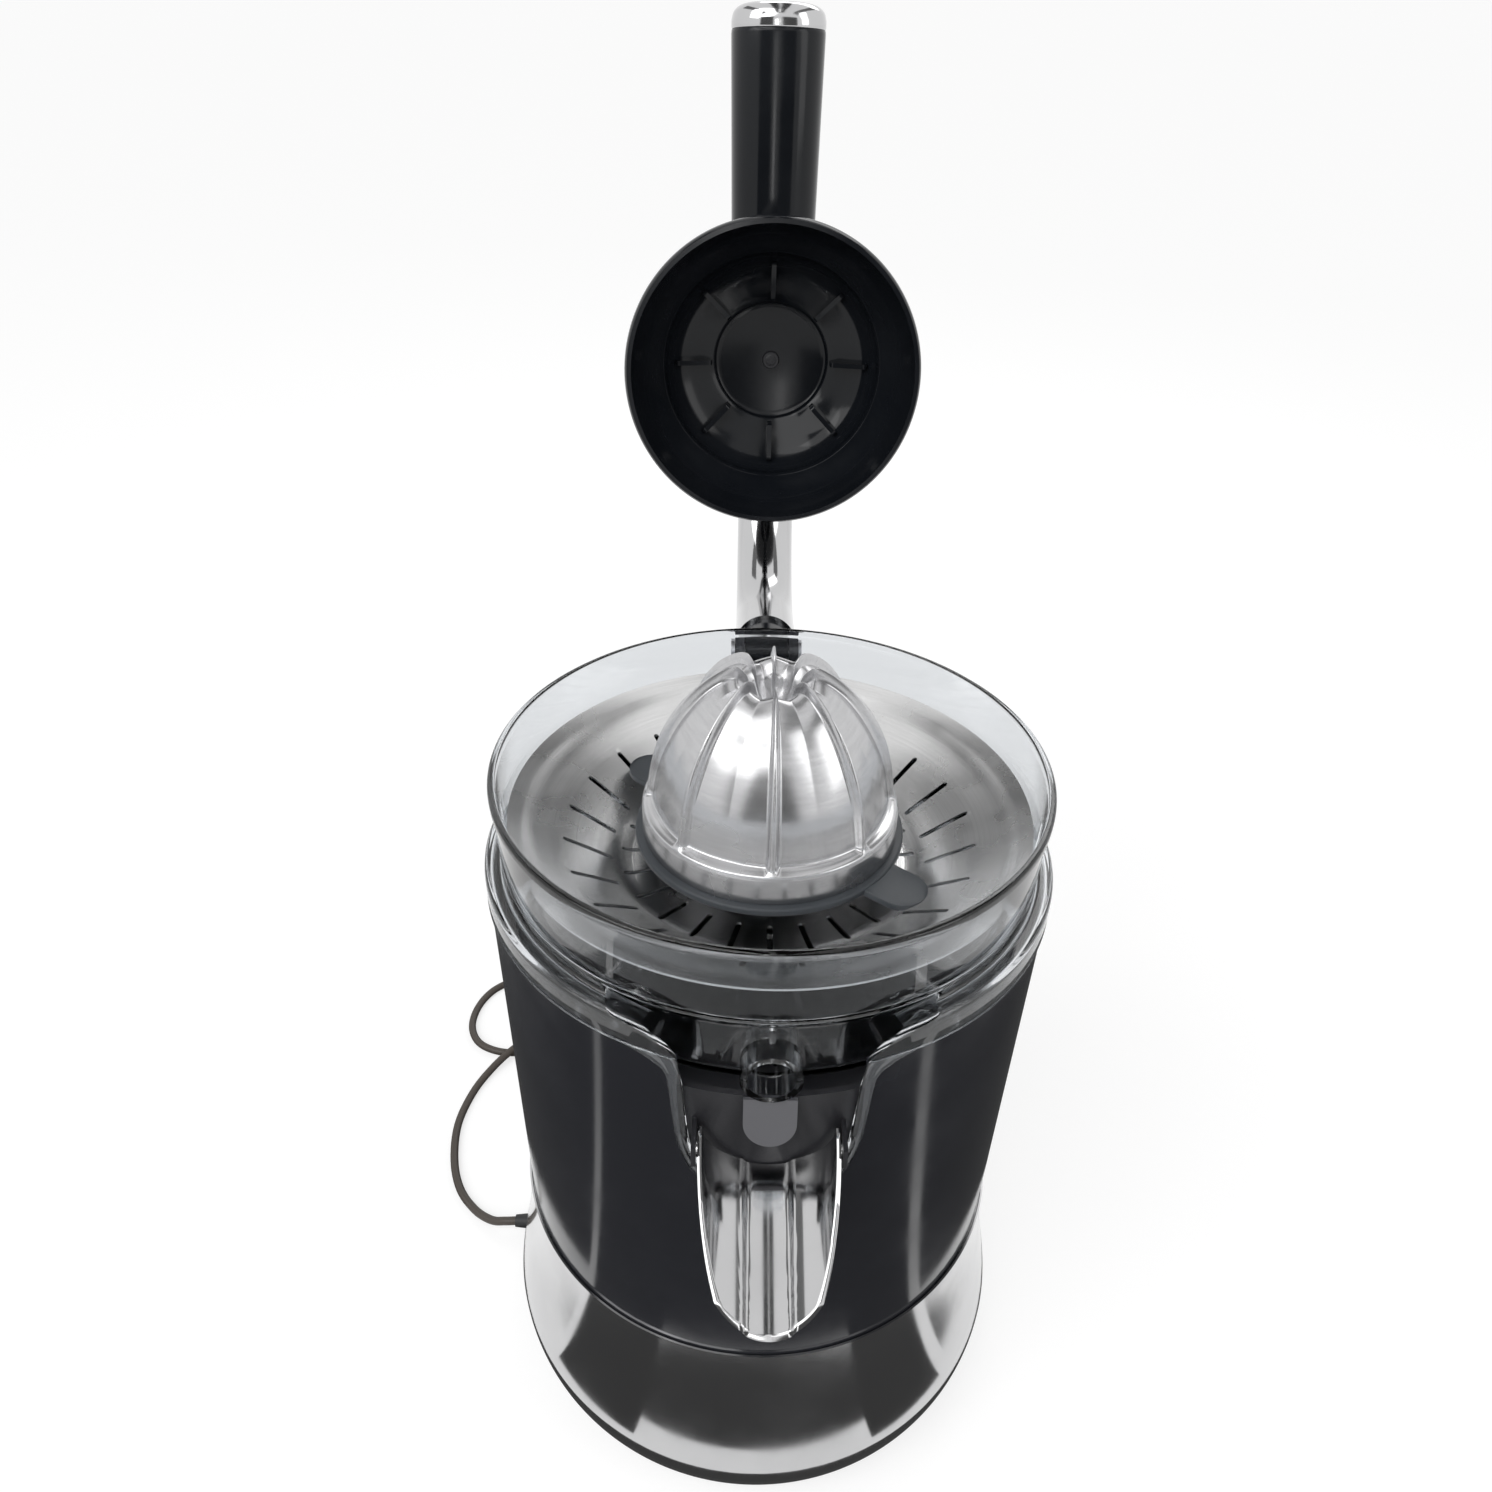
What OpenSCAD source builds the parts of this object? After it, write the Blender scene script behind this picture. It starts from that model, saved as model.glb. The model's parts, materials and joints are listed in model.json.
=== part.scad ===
/* [Base] */
// How far the chromed base swells beyond the body's lower end
base_swell = 9; // [7:0.5:12]
// How far the base draws in again down to the table
base_tuck = 9.5; // [7:0.5:12]
// Height of the widest line above the table
base_belly_z = 26.5; // [24:0.5:32]
// Top edge of the base shell above the table
base_top_z = 90; // [84:0.5:94]
// Wall of the base shell
base_wall = 2.2; // [1.8:0.1:3]
// Height that the rubber feet show below the base
foot_show = 1.8; // [1.4:0.1:2.4]
// Radius of a rubber foot
foot_r = 9; // [7:0.5:11]

/* [Body] */
// Outer radius of the body shell at its lower end
body_low_r = 90; // [86:0.5:95]
// How much wider the body shell is at its upper end, in radius
body_flare = 3; // [2:0.5:5]
// Upper edge of the body shell above the table
body_top_z = 236; // [232:1:240]
// Wall of the body shell
body_wall = 2; // [1.6:0.1:2.6]
// Half width of the front notch
notch_half_w = 26.5; // [25:0.5:28]
// Depth of the front notch below the body's upper edge
notch_deep = 53; // [50:1:56]

/* [Bowl] */
// How far the bowl's rim stays inside the body's upper edge
rim_inset = 3; // [2:0.5:5]
// Height of the bowl's rim above the body's upper edge
rim_rise = 41; // [36:1:46]
// Wall of the clear bowl
bowl_wall = 2; // [1.6:0.1:2.4]
// How far the bowl's skirt reaches over the body's upper edge
skirt_over = 0.8; // [0.4:0.1:3]
// Outer radius of the outlet nozzle
nozzle_r = 9; // [7.5:0.5:10]

/* [Strainer] */
// How far the strainer's edge stays inside the bowl's rim
strainer_inset = 4.8; // [4:0.2:8]
// Sheet thickness of the strainer
strainer_t = 0.8; // [0.6:0.1:1.2]
// Number of slots in each ring
slot_count = 24; // [12:2:30]
// Width of a slot
slot_w = 1.9; // [1.2:0.1:2.4]

/* [Reamer] */
// Radius of the reamer's base band
reamer_r = 42; // [38:0.5:44]
// Height of the base band
band_h = 9; // [7:0.5:11]
// Height of the ribbed crown above the band
crown_h = 50; // [44:1:54]
// Number of ribs
rib_count = 8; // [6:1:12]
// Distance of the two stirrer wings from the strainer's edge
wing_inset = 25.2; // [23.2:1:30.2]

/* [Spout] */
// Inner half width of the spout
spout_half_w = 19.5; // [17:0.5:20]
// Length of the spout in front of the body
spout_l = 46; // [36:1:56]
// Depth of the spout's trough at its root
spout_deep = 15; // [12:0.5:16]
// Sheet thickness of the spout
spout_t = 1.2; // [0.8:0.1:1.6]

/* [Lever] */
// Distance of the lever's hinge behind the body's upper edge
hinge_back = 11; // [10.5:0.5:16]
// Depth of the lever's hinge below the bowl's rim
hinge_drop = 19; // [17:0.5:21]
// Outer radius of the arm tube
arm_r = 12.2; // [10:0.1:12.2]
// Wall of the arm tube
arm_wall = 1.5; // [1:0.1:2.5]
// Bend radius of the arm tube at its middle
arm_bend_r = 50; // [40:1:56]
// Height of the arm's straight run above the hinge when closed
arm_rise = 85; // [82:1:92]
// Angle that the lever swings between raised and pressed
arm_swing = 97; // [80:1:97]
// Length of the handle grip
grip_l = 105; // [90:1:120]
// Half width of the grip at its end
grip_half_w = 18.2; // [17:0.1:19.5]
// Outer radius of the press dome at its mouth
dome_r = 56.5; // [52:0.5:58]
// Height of the press dome
dome_h = 48; // [46:0.5:50]

/* [Drive] */
// Radius of the drive shaft
shaft_r = 4; // [3.5:0.1:5]
// Travel of the shaft when the fruit is pressed
press_travel = 2.2; // [1.5:0.1:2.4]
// Distance of the idler gear from the main axis
idler_a = 30; // [28:1:32]
// Teeth of the motor pinion
teeth_a = 10; // [10:1:12]
// Teeth of the idler's large gear
teeth_b = 50; // [44:1:54]
// Teeth of the idler's pinion
teeth_c = 12; // [12:1:14]
// Teeth of the output gear
teeth_d = 36; // [32:1:40]
// Radius of the motor's stator
stator_r = 36; // [32:0.5:38]
// Height of the stator stack
stator_h = 40; // [30:1:44]
// Radius of the rotor
rotor_r = 20.5; // [18:0.25:20.5]
// Radius of the rotor shaft
rotor_shaft_r = 3; // [2.5:0.1:3.2]

/* [Cord] */
// Diameter of the mains cord
cord_d = 3.8; // [3.4:0.1:3.8]
// Turns in each layer of the stored coil
coil_turns = 2.25; // [1.25:1:2.25]

/* [Hidden] */

$fn = 96;
// Overrun of every cut
cut = 1;
// Gap between a loose piece and its neighbour
gap = 0.3;
// Radial clearance of a running fit
fit = 0.04;
// Angle of a quarter turn
quarter = 90;
// Teeth are this share narrower than half a pitch
backlash_share = 0.06;
// Pressure angle of the gears
gear_press = 25;
// Tooth height above and below the pitch circle, as shares of the module
addendum_share = 0.9;
dedendum_share = 1.15;

// Radii and levels that follow the body's size
body_top_r = body_low_r + body_flare;
base_belly_r = body_low_r + base_swell;
base_foot_r = base_belly_r - base_tuck;
rim_r = body_top_r - rim_inset;
skirt_r = body_top_r + skirt_over;
strainer_r = rim_r - strainer_inset;
wing_r = strainer_r - wing_inset;
notch_low_z = body_top_z - notch_deep;
hinge_y = body_top_r + hinge_back;
hinge_z = body_top_z + rim_rise - hinge_drop;

// Body levels, from the table upwards
cover_t = 2.5;
cover_z = foot_show;
ledge_z = cover_z + cover_t;
ledge_t = 2;
ledge_w = 8;
chassis_z = ledge_z + ledge_t;
chassis_t = 3;
post_ring_r = 58;
post_r = 5;
screw_ring_inset = 20;
screw_ring_r = base_foot_r - screw_ring_inset;
base_wall_lip = 1;
base_rim_r = body_low_r + gap + base_wall_lip;
// How late the base swells below its upper edge, outwards and downwards
swell_power = 4.5;
drop_power = 1.5;
// Turn of the arc that draws the base in below its widest line
tuck_angle = 60;
tuck_arc_r = base_tuck / (1 - cos(tuck_angle));
tuck_arc_h = (base_belly_z - foot_show) / sin(tuck_angle);
body_seat_drop = 4;
body_low_z = base_top_z - body_seat_drop;
shelf_t = 2.2;
flange_w = 7;
flange_t = 2;

// Motor levels
shaft_low_z = 12;
coil_end_h = 8;
bracket_wall = 2.5;
bracket_t = 3;
stator_z = 42;
stator_top_z = stator_z + stator_h;
winding_out_play = 1;
winding_in_play = 1.5;
winding_out_r = stator_r - bracket_wall - winding_out_play;
winding_in_r = rotor_r + winding_in_play;
// Room between a winding and the bracket over it
winding_room = 5;
upper_plate_z = stator_top_z + coil_end_h + winding_room;
gearbox_z = upper_plate_z + bracket_t;
boss_r = 8;
bearing_r = 6;
bearing_h = 8;
lower_plate_z = stator_z - coil_end_h - winding_room - bracket_t;
fan_r = 27;
fan_h = 8;
fan_blades = 9;

// Gearbox levels
box_floor_t = 3;
box_wall = 2.5;
box_in_z = gearbox_z + box_floor_t;
step_up_gap = 4;
gear_b_z = box_in_z + step_up_gap;
gear_b_h = 7;
pinion_over = 1;
pinion_a_z = gear_b_z - pinion_over;
pinion_a_h = gear_b_h + 2 * pinion_over;
rotor_top_z = pinion_a_z + pinion_a_h + pinion_over;
bridge_t = 3;
bridge_z = rotor_top_z + 2 * pinion_over;
spring_post_r = 3;
spring_post_h = 6;
bridge_top_z = bridge_z + bridge_t;
cup_sleeve_h = 5;
// Air that is left over the spring's post when the shaft is down
cup_play = 0.4;
cup_roof_z = bridge_top_z + spring_post_h + press_travel + cup_play;
cup_t = 2.6;
cup_top_z = cup_roof_z + cup_t;
cup_r = 9.5;
spring_mid_r = 6.7;
spring_wire_r = 0.6;
spring_turns = 4;
finger_w = 6;
finger_reach = 36;
gear_d_play = 0.6;
gear_d_z = cup_top_z + gear_d_play;
gear_d_h = 8;
gear_hub_over = 2;
pinion_c_over = 3;
pinion_c_top_z = gear_d_z + gear_d_h + pinion_c_over;
box_room = 1;
box_top_z = pinion_c_top_z + box_room;
box_cover_t = 3;
box_main_r = 30;
box_idler_r = 32;
idler_pin_r = 2.5;
idler_boss_r = 5;
module_ab = 2 * idler_a / (teeth_a + teeth_b);
module_cd = 2 * idler_a / (teeth_c + teeth_d);
bush_r = 6.5;
low_bush_h = 13;
switch_t = 6.5;
switch_w = 20;
switch_h = 16;
plunger_r = 1.2;
plunger_show = 2.4;

// Deck and bowl levels
rim_z = body_top_z + rim_rise;
deck_drop = 22;
deck_z = body_top_z - deck_drop;
deck_t = 3;
deck_inset = 5.8;
deck_r = body_top_r - deck_inset;
tower_r = 11.5;
tower_drop = 1;
tower_top_z = body_top_z - tower_drop;
tower_foot_w = 2;
tower_foot_h = 4;
seal_h = 2;
up_bush_h = 12;
lug_half_gap = 8.5;
lug_w = 5.6;
lug_y = 60;
lug_d = 5;
lug_h = 4;
waist_inset = 2;
waist_rise = 13;
skirt_rise = 10;
basin_drop = 14;
basin_inset = 3.5;
chimney_play = 0.5;
chimney_rise = 20;
waist_r = rim_r - waist_inset;
waist_z = body_top_z + waist_rise;
skirt_top_z = body_top_z + skirt_rise;
basin_low_z = body_top_z - basin_drop;
basin_r = waist_r - basin_inset;
chimney_r = tower_r + gap + bowl_wall + chimney_play;
chimney_top_z = body_top_z + chimney_rise;
apron_gap = 0.25;
apron_t = 1.6;
apron_over = 3;
apron_low_z = notch_low_z - apron_over;

// Strainer outline: shares of its radius and of its depth
strainer_drop = 16.3;
strainer_edge_z = rim_z - strainer_drop;
strainer_depth = 22;
strainer_hole_play = 2.5;
strainer_hole_r = chimney_r + strainer_hole_play;
dish_r_shares = [1, 0.985, 0.955, 0.9, 0.8, 0.7, 0.61, 0.57, 0.54];
dish_z_shares = [1, 0.965, 0.89, 0.74, 0.53, 0.3, 0.085, 0.02, 0];
outer_slot_in_share = 0.615;
outer_slot_out_share = 0.8;
inner_slot_in_share = 0.43;
inner_slot_out_share = 0.58;
strainer_z = strainer_edge_z - strainer_depth;
rest_rib_count = 8;
rest_rib_w = 2;
rest_rib_out_share = 0.4695;
rest_rib_out_r = strainer_r * rest_rib_out_share;

// Reamer outline: shares of its radius and of the crown's height, up the rib and up the panel
reamer_rise = 13;
reamer_z = strainer_z + reamer_rise;
band_top_z = reamer_z + band_h;
rib_r_shares = [1, 0.985, 0.955, 0.95, 0.915, 0.85, 0.74, 0.59, 0.43, 0.31, 0.25, 0.2, 0.17, 0.15];
rib_z_shares = [0, 0.04, 0.07, 0.16, 0.32, 0.5, 0.68, 0.84, 0.95, 1, 0.985, 0.93, 0.82, 0.7];
panel_r_shares = [1, 0.985, 0.945, 0.885, 0.845, 0.765, 0.655, 0.52, 0.395, 0.3, 0.25, 0.2, 0.17, 0.15];
panel_z_shares = [0, 0.04, 0.09, 0.125, 0.29, 0.46, 0.63, 0.78, 0.87, 0.9, 0.885, 0.84, 0.77, 0.7];
rib_steps = 12;
rib_sharp_power = 2.4;
hub_r = 10;
hub_step = 2;
hub_play = 1;
hub_low_z = chimney_top_z + hub_play;
hub_drive_depth = 24;
stirrer_h = 3;
stirrer_over = 2.4;
stirrer_under = 6;
stirrer_out_r = reamer_r + stirrer_over;
stirrer_in_r = reamer_r - stirrer_under;
wing_w = 17;
wing_angle = -38;
wing_play = 0.4;
wing_lift = press_travel + wing_play;
wing_root_w = 2;
wing_drop = 0.5;

// Spout: the root stands on the body's front, the floor runs down and forward
root_inset = 1.4;
root_rise = 10.6;
root_y = root_inset - body_top_r;
root_floor_z = notch_low_z + root_rise;
floor_slope = 13;
spout_peg_r = 2;
spout_peg_l = 1.4;
peg_back = 2.5;
peg_drop = 3.5;
cheek_gap = 0.4;
cheek_t = 1.4;
cheek_half_h = 3.8;
channel_half_w = 7;
channel_deep = 1.2;
plate_t = 2;
plate_half_w = 31;
plate_top_gap = 0.5;
plate_under = 5;
plate_top_z = basin_low_z - plate_top_gap;
plate_low_z = notch_low_z - plate_under;
flap_w = 15.5;
flap_t = 1.4;
flap_lean = 4;
flap_over = 12;
flap_low_z = root_floor_z + flap_over;

// Lever
knuckle_r = 9.5;
knuckle_half_w = 8.5;
plug_depth = 12;
ear_gap = 0.3;
ear_t = 3.8;
ear_r = 9.5;
hinge_pin_r = 3;
hinge_bush_r = 5;
bracket_drop = 86;
bracket_low_z = body_top_z - bracket_drop;
bracket_half_w = knuckle_half_w + ear_gap + ear_t;
bracket_deep = 13;
arm_z = hinge_z + arm_rise;
arm_front_y = -50;
grip_rear_y = -22;
grip_root_half_w = 16.6;
grip_half_h_share = 0.86;
cap_l = 9;
dome_mouth_z = rim_z;
dome_top_z = dome_mouth_z + dome_h;
neck_r = 14;
dome_out_r_shares = [1, 0.995, 0.965, 0.88, 0.72, 0.5, 0.3, 0];
dome_out_z_shares = [0.05, 0.14, 0.36, 0.62, 0.83, 0.95, 1, 1];
dome_in_r_shares = [0, 0.36, 0.4, 0.42, 0.6, 0.735, 0.75, 0.88, 0.935, 0.95];
dome_in_z_shares = [0.9, 0.9, 0.86, 0.8, 0.71, 0.56, 0.47, 0.3, 0.12, 0];
dome_rib_count = 8;
dome_rib_in_share = 0.42;
dome_rib_out_share = 0.68;
dome_rib_w = 2;
dome_rib_drop = 3;

// Cord: route on the table from the base's left side, points chosen by hand
cord_r = cord_d / 2;
coil_out_r = 27.5;
coil_air = 0.95;
coil_pitch = cord_d + coil_air;
coil_lift = 0.7;
coil_low_z = cord_r + coil_lift;
coil_top_z = coil_low_z + coil_pitch;
// Radius of the base that the route was drawn round, and how much larger this base is
route_base_r = 99;
route_share = base_belly_r / route_base_r;
coil_centre = route_share * [-42, 165, 0];
cord_way = [0, route_share * 18, 7];
side_route = [[-108, 18, 7], [-113, 18.2, 6.3], [-120, 20.5, 3.6], [-129, 27, 1.95], [-138, 38, 1.95],
    [-144, 54, 1.95], [-146.5, 75, 1.95], [-143, 95, 1.95]];
loop_route = [[-94, -55, 3], [-85, -44, 5.4], [-75, -34, 6.2], [-65, -23, 5], [-59, -10, 2.6], [-61, 3, 1.95],
    [-73, 12, 1.95], [-89, 12, 1.95], [-102, 4, 1.95], [-109, -9, 1.95], [-110, -24, 1.95], [-104, -36, 1.95],
    [-92, -42, 1.95], [-78, -42, 1.95], [-64, -38, 1.95], [-50, -33, 1.95], [-36, -29, 2.2],
        [-22, -27.5, 2.6],
    [-cord_d, -coil_out_r, coil_low_z]];
tail_route = [[cord_d, -coil_out_r, coil_top_z], [11, -27.5, 6], [20, -26.5, 3.4], [31, -23, 1.95],
    [41, -18.5, 2.4],
    [50, -15.5, 5.4], [58, -15, 6.9]];
cord_points = concat([for (q = side_route) [route_share * q[0], route_share * q[1], q[2]]],
    [for (q = loop_route) coil_centre + q]);
tail_points = [for (q = tail_route) coil_centre + q];
relief_inset = 13;
relief_in_x = relief_inset - base_belly_r;
relief_out_x = -base_low_r(cord_way[2]) - base_wall_lip;
relief_root_r = 4;
relief_tip_r = 2.7;
relief_hole_r = 4.2;
plug_at = tail_points[len(tail_points) - 1];
plug_l = 36;
plug_w = 35;
plug_h = 13.6;
pin_l = 19;
pin_r = 2;
pin_half_gap = 9.3;

// Small fasteners and their places
screw_r = 1.6;
screw_head_r = 3.1;
screw_head_h = 1.6;
small_screw_r = 0.9;
small_head_r = 1.6;
small_head_h = 1;
long_screw_l = 14;
boss_h = 9;
foot_taper = 0.6;
foot_ring_inset = 18;
foot_ring_r = base_foot_r - foot_ring_inset;
foot_stem_r = 3;
vent_count = 12;
vent_w = 4;
vent_in_r = 12;
case_screw_inset = 4.6;
case_screw_r = body_low_r - case_screw_inset;
case_boss_r = 3;
deck_screw_inset = 13;
deck_screw_r = body_top_r - deck_screw_inset;
deck_ledge_w = 10;
deck_ledge_r = body_top_r - deck_ledge_w;
deck_wall_h = 7;
shelf_over = 3;
shelf_in_r = body_low_r - flange_w - shelf_over;
deck_wall = 1.5;
rotor_ring_h = 3;
fan_z = shaft_low_z;
fan_hub_r = 7;
fan_t = 1.5;
ear_h = 6;
box_ledge = 1.5;
boss_drop = 0.8;
boss_lip = 2;
boss_eye_r = boss_r - boss_lip / 2;
post_ear_rim = 1.5 * base_wall_lip;
flat_share = 0.75;
collar_w = 1.5;
collar_t = 1.5;
seal_r = 9;
cup_sleeve_r = 5.2;
finger_z = cup_top_z - cup_t;
switch_gap = 1;
switch_x = box_main_r + switch_gap;
switch_low_z = finger_z - plunger_show - switch_h;
plunger_x = -switch_x - switch_t / 2;
wire_r = 1;
sheath_route = [[0, 0, 0], [6, 0, 0], [11, 0, 0.3], [16, 1, 3], [20, 2.5, 6], [26, 3, 7.3]];
sheath_points = [for (q = sheath_route) [relief_in_x, cord_way[1], cord_way[2]] + q];
// Wires from the terminal block up to the switch, beside the stator
wire_route = [[34, 6, 14.3], [38, 5, 18], [39.5, 0, 50], [40, -9, 85], [44, -13, 101], [50, -13, 106.5]];
wire_half_gap = 5;
wire_steps = [6, 6, 7, 11, 10, 10];
wire_points = [for (k = [0, 1]) concat([for (i = [0:len(wire_route) - 1]) let (q = wire_route[i])
    [relief_in_x + q[0], cord_way[1] + q[1] - k * wire_steps[i], q[2]]],
    [[plunger_x, (1 - 2 * k) * wire_half_gap, switch_low_z]])];
body_draft = (body_top_r - body_low_r) / (body_top_z - body_low_z);
plate_inset = 0.5;
plate_r = body_low_r - plate_inset;
cheek_root_share = 0.965;
apron_flare_w = 43;
nozzle_z = basin_low_z + nozzle_r;
nozzle_inset = 1;
nozzle_mouth_y = body_top_r - nozzle_inset;
// Softened edges of the bowl: rim, band below it, waist, skirt and basin floor
rim_soft = 0.5;
rim_band = 3;
waist_soft = 0.4;
waist_h = 8;
skirt_step = 1.2;
skirt_soft = 1;
basin_soft = 3;
bowl_outline = [[rim_r - bowl_wall, rim_z - rim_soft], [rim_r - bowl_wall + rim_soft, rim_z],
    [rim_r - rim_soft, rim_z],
    [rim_r, rim_z - rim_soft], [rim_r, rim_z - rim_band], [waist_r + waist_soft, waist_z + waist_h],
        [waist_r, waist_z],
    [waist_r + waist_soft, skirt_top_z + skirt_step], [waist_r + skirt_step, skirt_top_z],
    [skirt_r - skirt_soft, skirt_top_z], [skirt_r, skirt_top_z - skirt_soft], [skirt_r, body_top_z],
    [skirt_r - bowl_wall, body_top_z], [skirt_r - bowl_wall, skirt_top_z - bowl_wall],
    [basin_r, skirt_top_z - bowl_wall - skirt_soft], [basin_r, basin_low_z + basin_soft],
    [basin_r - basin_soft / 3, basin_low_z + basin_soft / 3], [basin_r - basin_soft, basin_low_z],
    [chimney_r - bowl_wall, basin_low_z], [chimney_r - bowl_wall, chimney_top_z], [chimney_r, chimney_top_z],
    [chimney_r, basin_low_z + bowl_wall], [basin_r - bowl_wall - skirt_soft, basin_low_z + bowl_wall],
    [basin_r - bowl_wall, basin_low_z + bowl_wall + skirt_soft],
        [basin_r - bowl_wall, skirt_top_z - bowl_wall],
    [waist_r - bowl_wall, waist_z], [waist_r - bowl_wall + waist_soft, waist_z + waist_h]];
wing_t = 2;
wing_deep = 8.5;
bracket_screw_x = 9;
bracket_screw_rise = [20, 50];
bracket_screw_y = body_low_r - case_screw_inset;
bracket_screw_l = 16;
bracket_behind = 3;
bracket_under = 2;
bracket_back_y = hinge_y + bracket_behind;
bracket_top_z = hinge_z - arm_r - bracket_under;
foot_slope_h = 16;
foot_slope_angle = 45;
backing_inset = 1.4;
backing_r = body_low_r - backing_inset;
backing_h = 50;
backing_half_w = 22;
pin_head_t = 1.5;
pin_over = 1;
bush_l = 4;
dome_screw_l = 5;
clamp_gap = 2;
clamp_x = relief_in_x + clamp_gap;
clamp_l = 8;
clamp_w = 12;
clamp_top_z = 12;
terminal_x = sheath_points[5][0];
terminal_aside = 5;
terminal_y = cord_way[1] - terminal_aside;
terminal_l = 8;
terminal_w = 16;
terminal_h = 9;
tie_t = 0.6;
tie_w = 9;
tie_in_r = coil_out_r - coil_pitch * coil_turns - cord_r - gap;
tie_top_z = coil_lift + cord_d + coil_pitch + gap;

// Points on a rounded curve through given points (Catmull-Rom)
function curve_at(p, i, t) =
    let (n = len(p) - 1, a = p[max(i - 1, 0)], b = p[i], c = p[min(i + 1, n)], d = p[min(i + 2, n)])
    0.5 * (2 * b + (c - a) * t + (2 * a - 5 * b + 4 * c - d) * t * t + (3 * b - a - 3 * c + d) * t * t * t);
function smooth(p, steps) =
    [for (i = [0:len(p) - 2], k = [0:steps - 1]) curve_at(p, i, k / steps), p[len(p) - 1]];
function unit(v) = v / norm(v);
function direction(p, i) = unit(p[min(i + 1, len(p) - 1)] - p[max(i - 1, 0)]);

// A round tube of given sides along points, closed at both ends
module sweep_tube(p, r, sides) {
    n = len(p);
    points = [for (i = [0:n - 1])
        let (t = direction(p, i), s = unit(cross(t, [0, 0, 1])), u = cross(s, t))
        for (k = [0:sides - 1]) p[i] + r * (s * cos(360 * k / sides) + u * sin(360 * k / sides))];
    rings = [for (i = [0:n - 2], k = [0:sides - 1])
        let (a = i * sides + k, b = i * sides + (k + 1) % sides) each [[a, a + sides, b],
            [b, a + sides, b + sides]]];
    ends = [[for (k = [0:sides - 1]) k], [for (k = [sides - 1:-1:0]) (n - 1) * sides + k]];
    polyhedron(points, concat(rings, ends), convexity = 10);
}

// A ring that turns an outline of radius and height pairs
module turned(outline) { rotate_extrude() polygon(outline); }
module ring(r_out, r_in, z, h) {
    translate([0, 0, z]) difference() {
        cylinder(r = r_out, h = h);
        translate([0, 0, -cut]) cylinder(r = r_in, h = h + 2 * cut);
    }
}
module disc(r, z, h) { translate([0, 0, z]) cylinder(r = r, h = h); }
module around(count, start = 0) { for (i = [0:count - 1]) rotate(start + 360 * i / count) children(); }
module block(low, high) { translate(low) cube(high - low); }
// A bar along X through the lever's hinge
module hinge_bar(r, x0, x1) { translate([x0, hinge_y, hinge_z]) rotate([0, 90, 0])
    cylinder(r = r, h = x1 - x0); }
// Turns what is drawn in the pressed place to the raised place
module raised() {
    translate([0, hinge_y, hinge_z]) rotate([-arm_swing, 0, 0]) translate([0, -hinge_y, -hinge_z]) children();
}
// A pan-head screw along +Z with its head at the bottom
module screw_up(r, l, head_r, head_h) {
    cylinder(r = head_r, h = head_h);
    cylinder(r = r, h = l);
}

// Involute gear
function inv_point(rb, a) = [rb * (cos(a) + a * PI / 180 * sin(a)), rb * (sin(a) - a * PI / 180 * cos(a))];
function inv_angle(rb, r) = r <= rb ? 0 : sqrt(r * r / (rb * rb) - 1) * 180 / PI;
function polar(r, a) = [r * cos(a), r * sin(a)];
function turn(p, a) = [p[0] * cos(a) - p[1] * sin(a), p[0] * sin(a) + p[1] * cos(a)];
function flank(m, z, steps) =
    let (rp = m * z / 2, rb = rp * cos(gear_press), ra = rp + addendum_share * m,
        rr = rp - dedendum_share * m)
    let (a0 = inv_angle(rb, max(rb, rr)), a1 = inv_angle(rb, ra))
    [if (rr < rb) polar(rr, 0), for (k = [0:steps]) inv_point(rb, a0 + (a1 - a0) * k / steps)];
function gear_points(m, z) =
    let (rp = m * z / 2, rb = rp * cos(gear_press), ap = inv_angle(rb, rp), q = inv_point(rb, ap))
    let (half = quarter / z * (1 - backlash_share) + atan2(q[1], q[0]), f = flank(m, z, 4))
    [for (i = [0:z - 1]) each concat(
        [for (p = f) turn(p, 360 * i / z - half)],
        [for (k = [len(f) - 1:-1:0]) turn([f[k][0], -f[k][1]], 360 * i / z + half)])];
module gear(m, z, h) { linear_extrude(h) polygon(gear_points(m, z)); }

// Base outline, from the upper edge outwards and down, then in again to the foot
base_steps = 14;
tuck_steps = 6;
function base_outer(inset) = concat(
    [for (i = [0:base_steps]) let (t = quarter * i / base_steps)
        [base_rim_r - inset + (base_belly_r - base_rim_r) * pow(sin(t), swell_power),
        base_belly_z + (base_top_z - base_belly_z) * pow(cos(t), drop_power)]],
    [for (i = [1:tuck_steps]) let (t = tuck_angle * i / tuck_steps)
        [base_belly_r - inset - tuck_arc_r * (1 - cos(t)), base_belly_z - tuck_arc_h * sin(t)]]);
// Outer radius of the base at a height below its widest line
function base_low_r(z) = base_belly_r - tuck_arc_r * (1 - sqrt(1 - pow((base_belly_z - z) / tuck_arc_h, 2)));
function reversed(p) = [for (i = [len(p) - 1:-1:0]) p[i]];

module base_shell() color([0.78, 0.79, 0.8]) difference() {
    union() {
        turned(concat(base_outer(0), reversed(base_outer(base_wall))));
        // Shelf that the body shell stands on, and ledge for the chassis and the cover
        ring(base_rim_r - base_wall_lip, shelf_in_r, body_low_z - shelf_t, shelf_t);
        ring(base_low_r(ledge_z) - base_wall_lip / 2, base_foot_r - base_wall - ledge_w, ledge_z, ledge_t);
    }
    cord_bore(relief_hole_r);
    clamp_block(gap);
    around(4, 45) translate([case_screw_r, 0, body_low_z - shelf_t - cut])
        cylinder(r = screw_r + fit + gap, h = shelf_t + 2 * cut);
    disc(body_low_r + gap, body_low_z, base_top_z);
}

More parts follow.
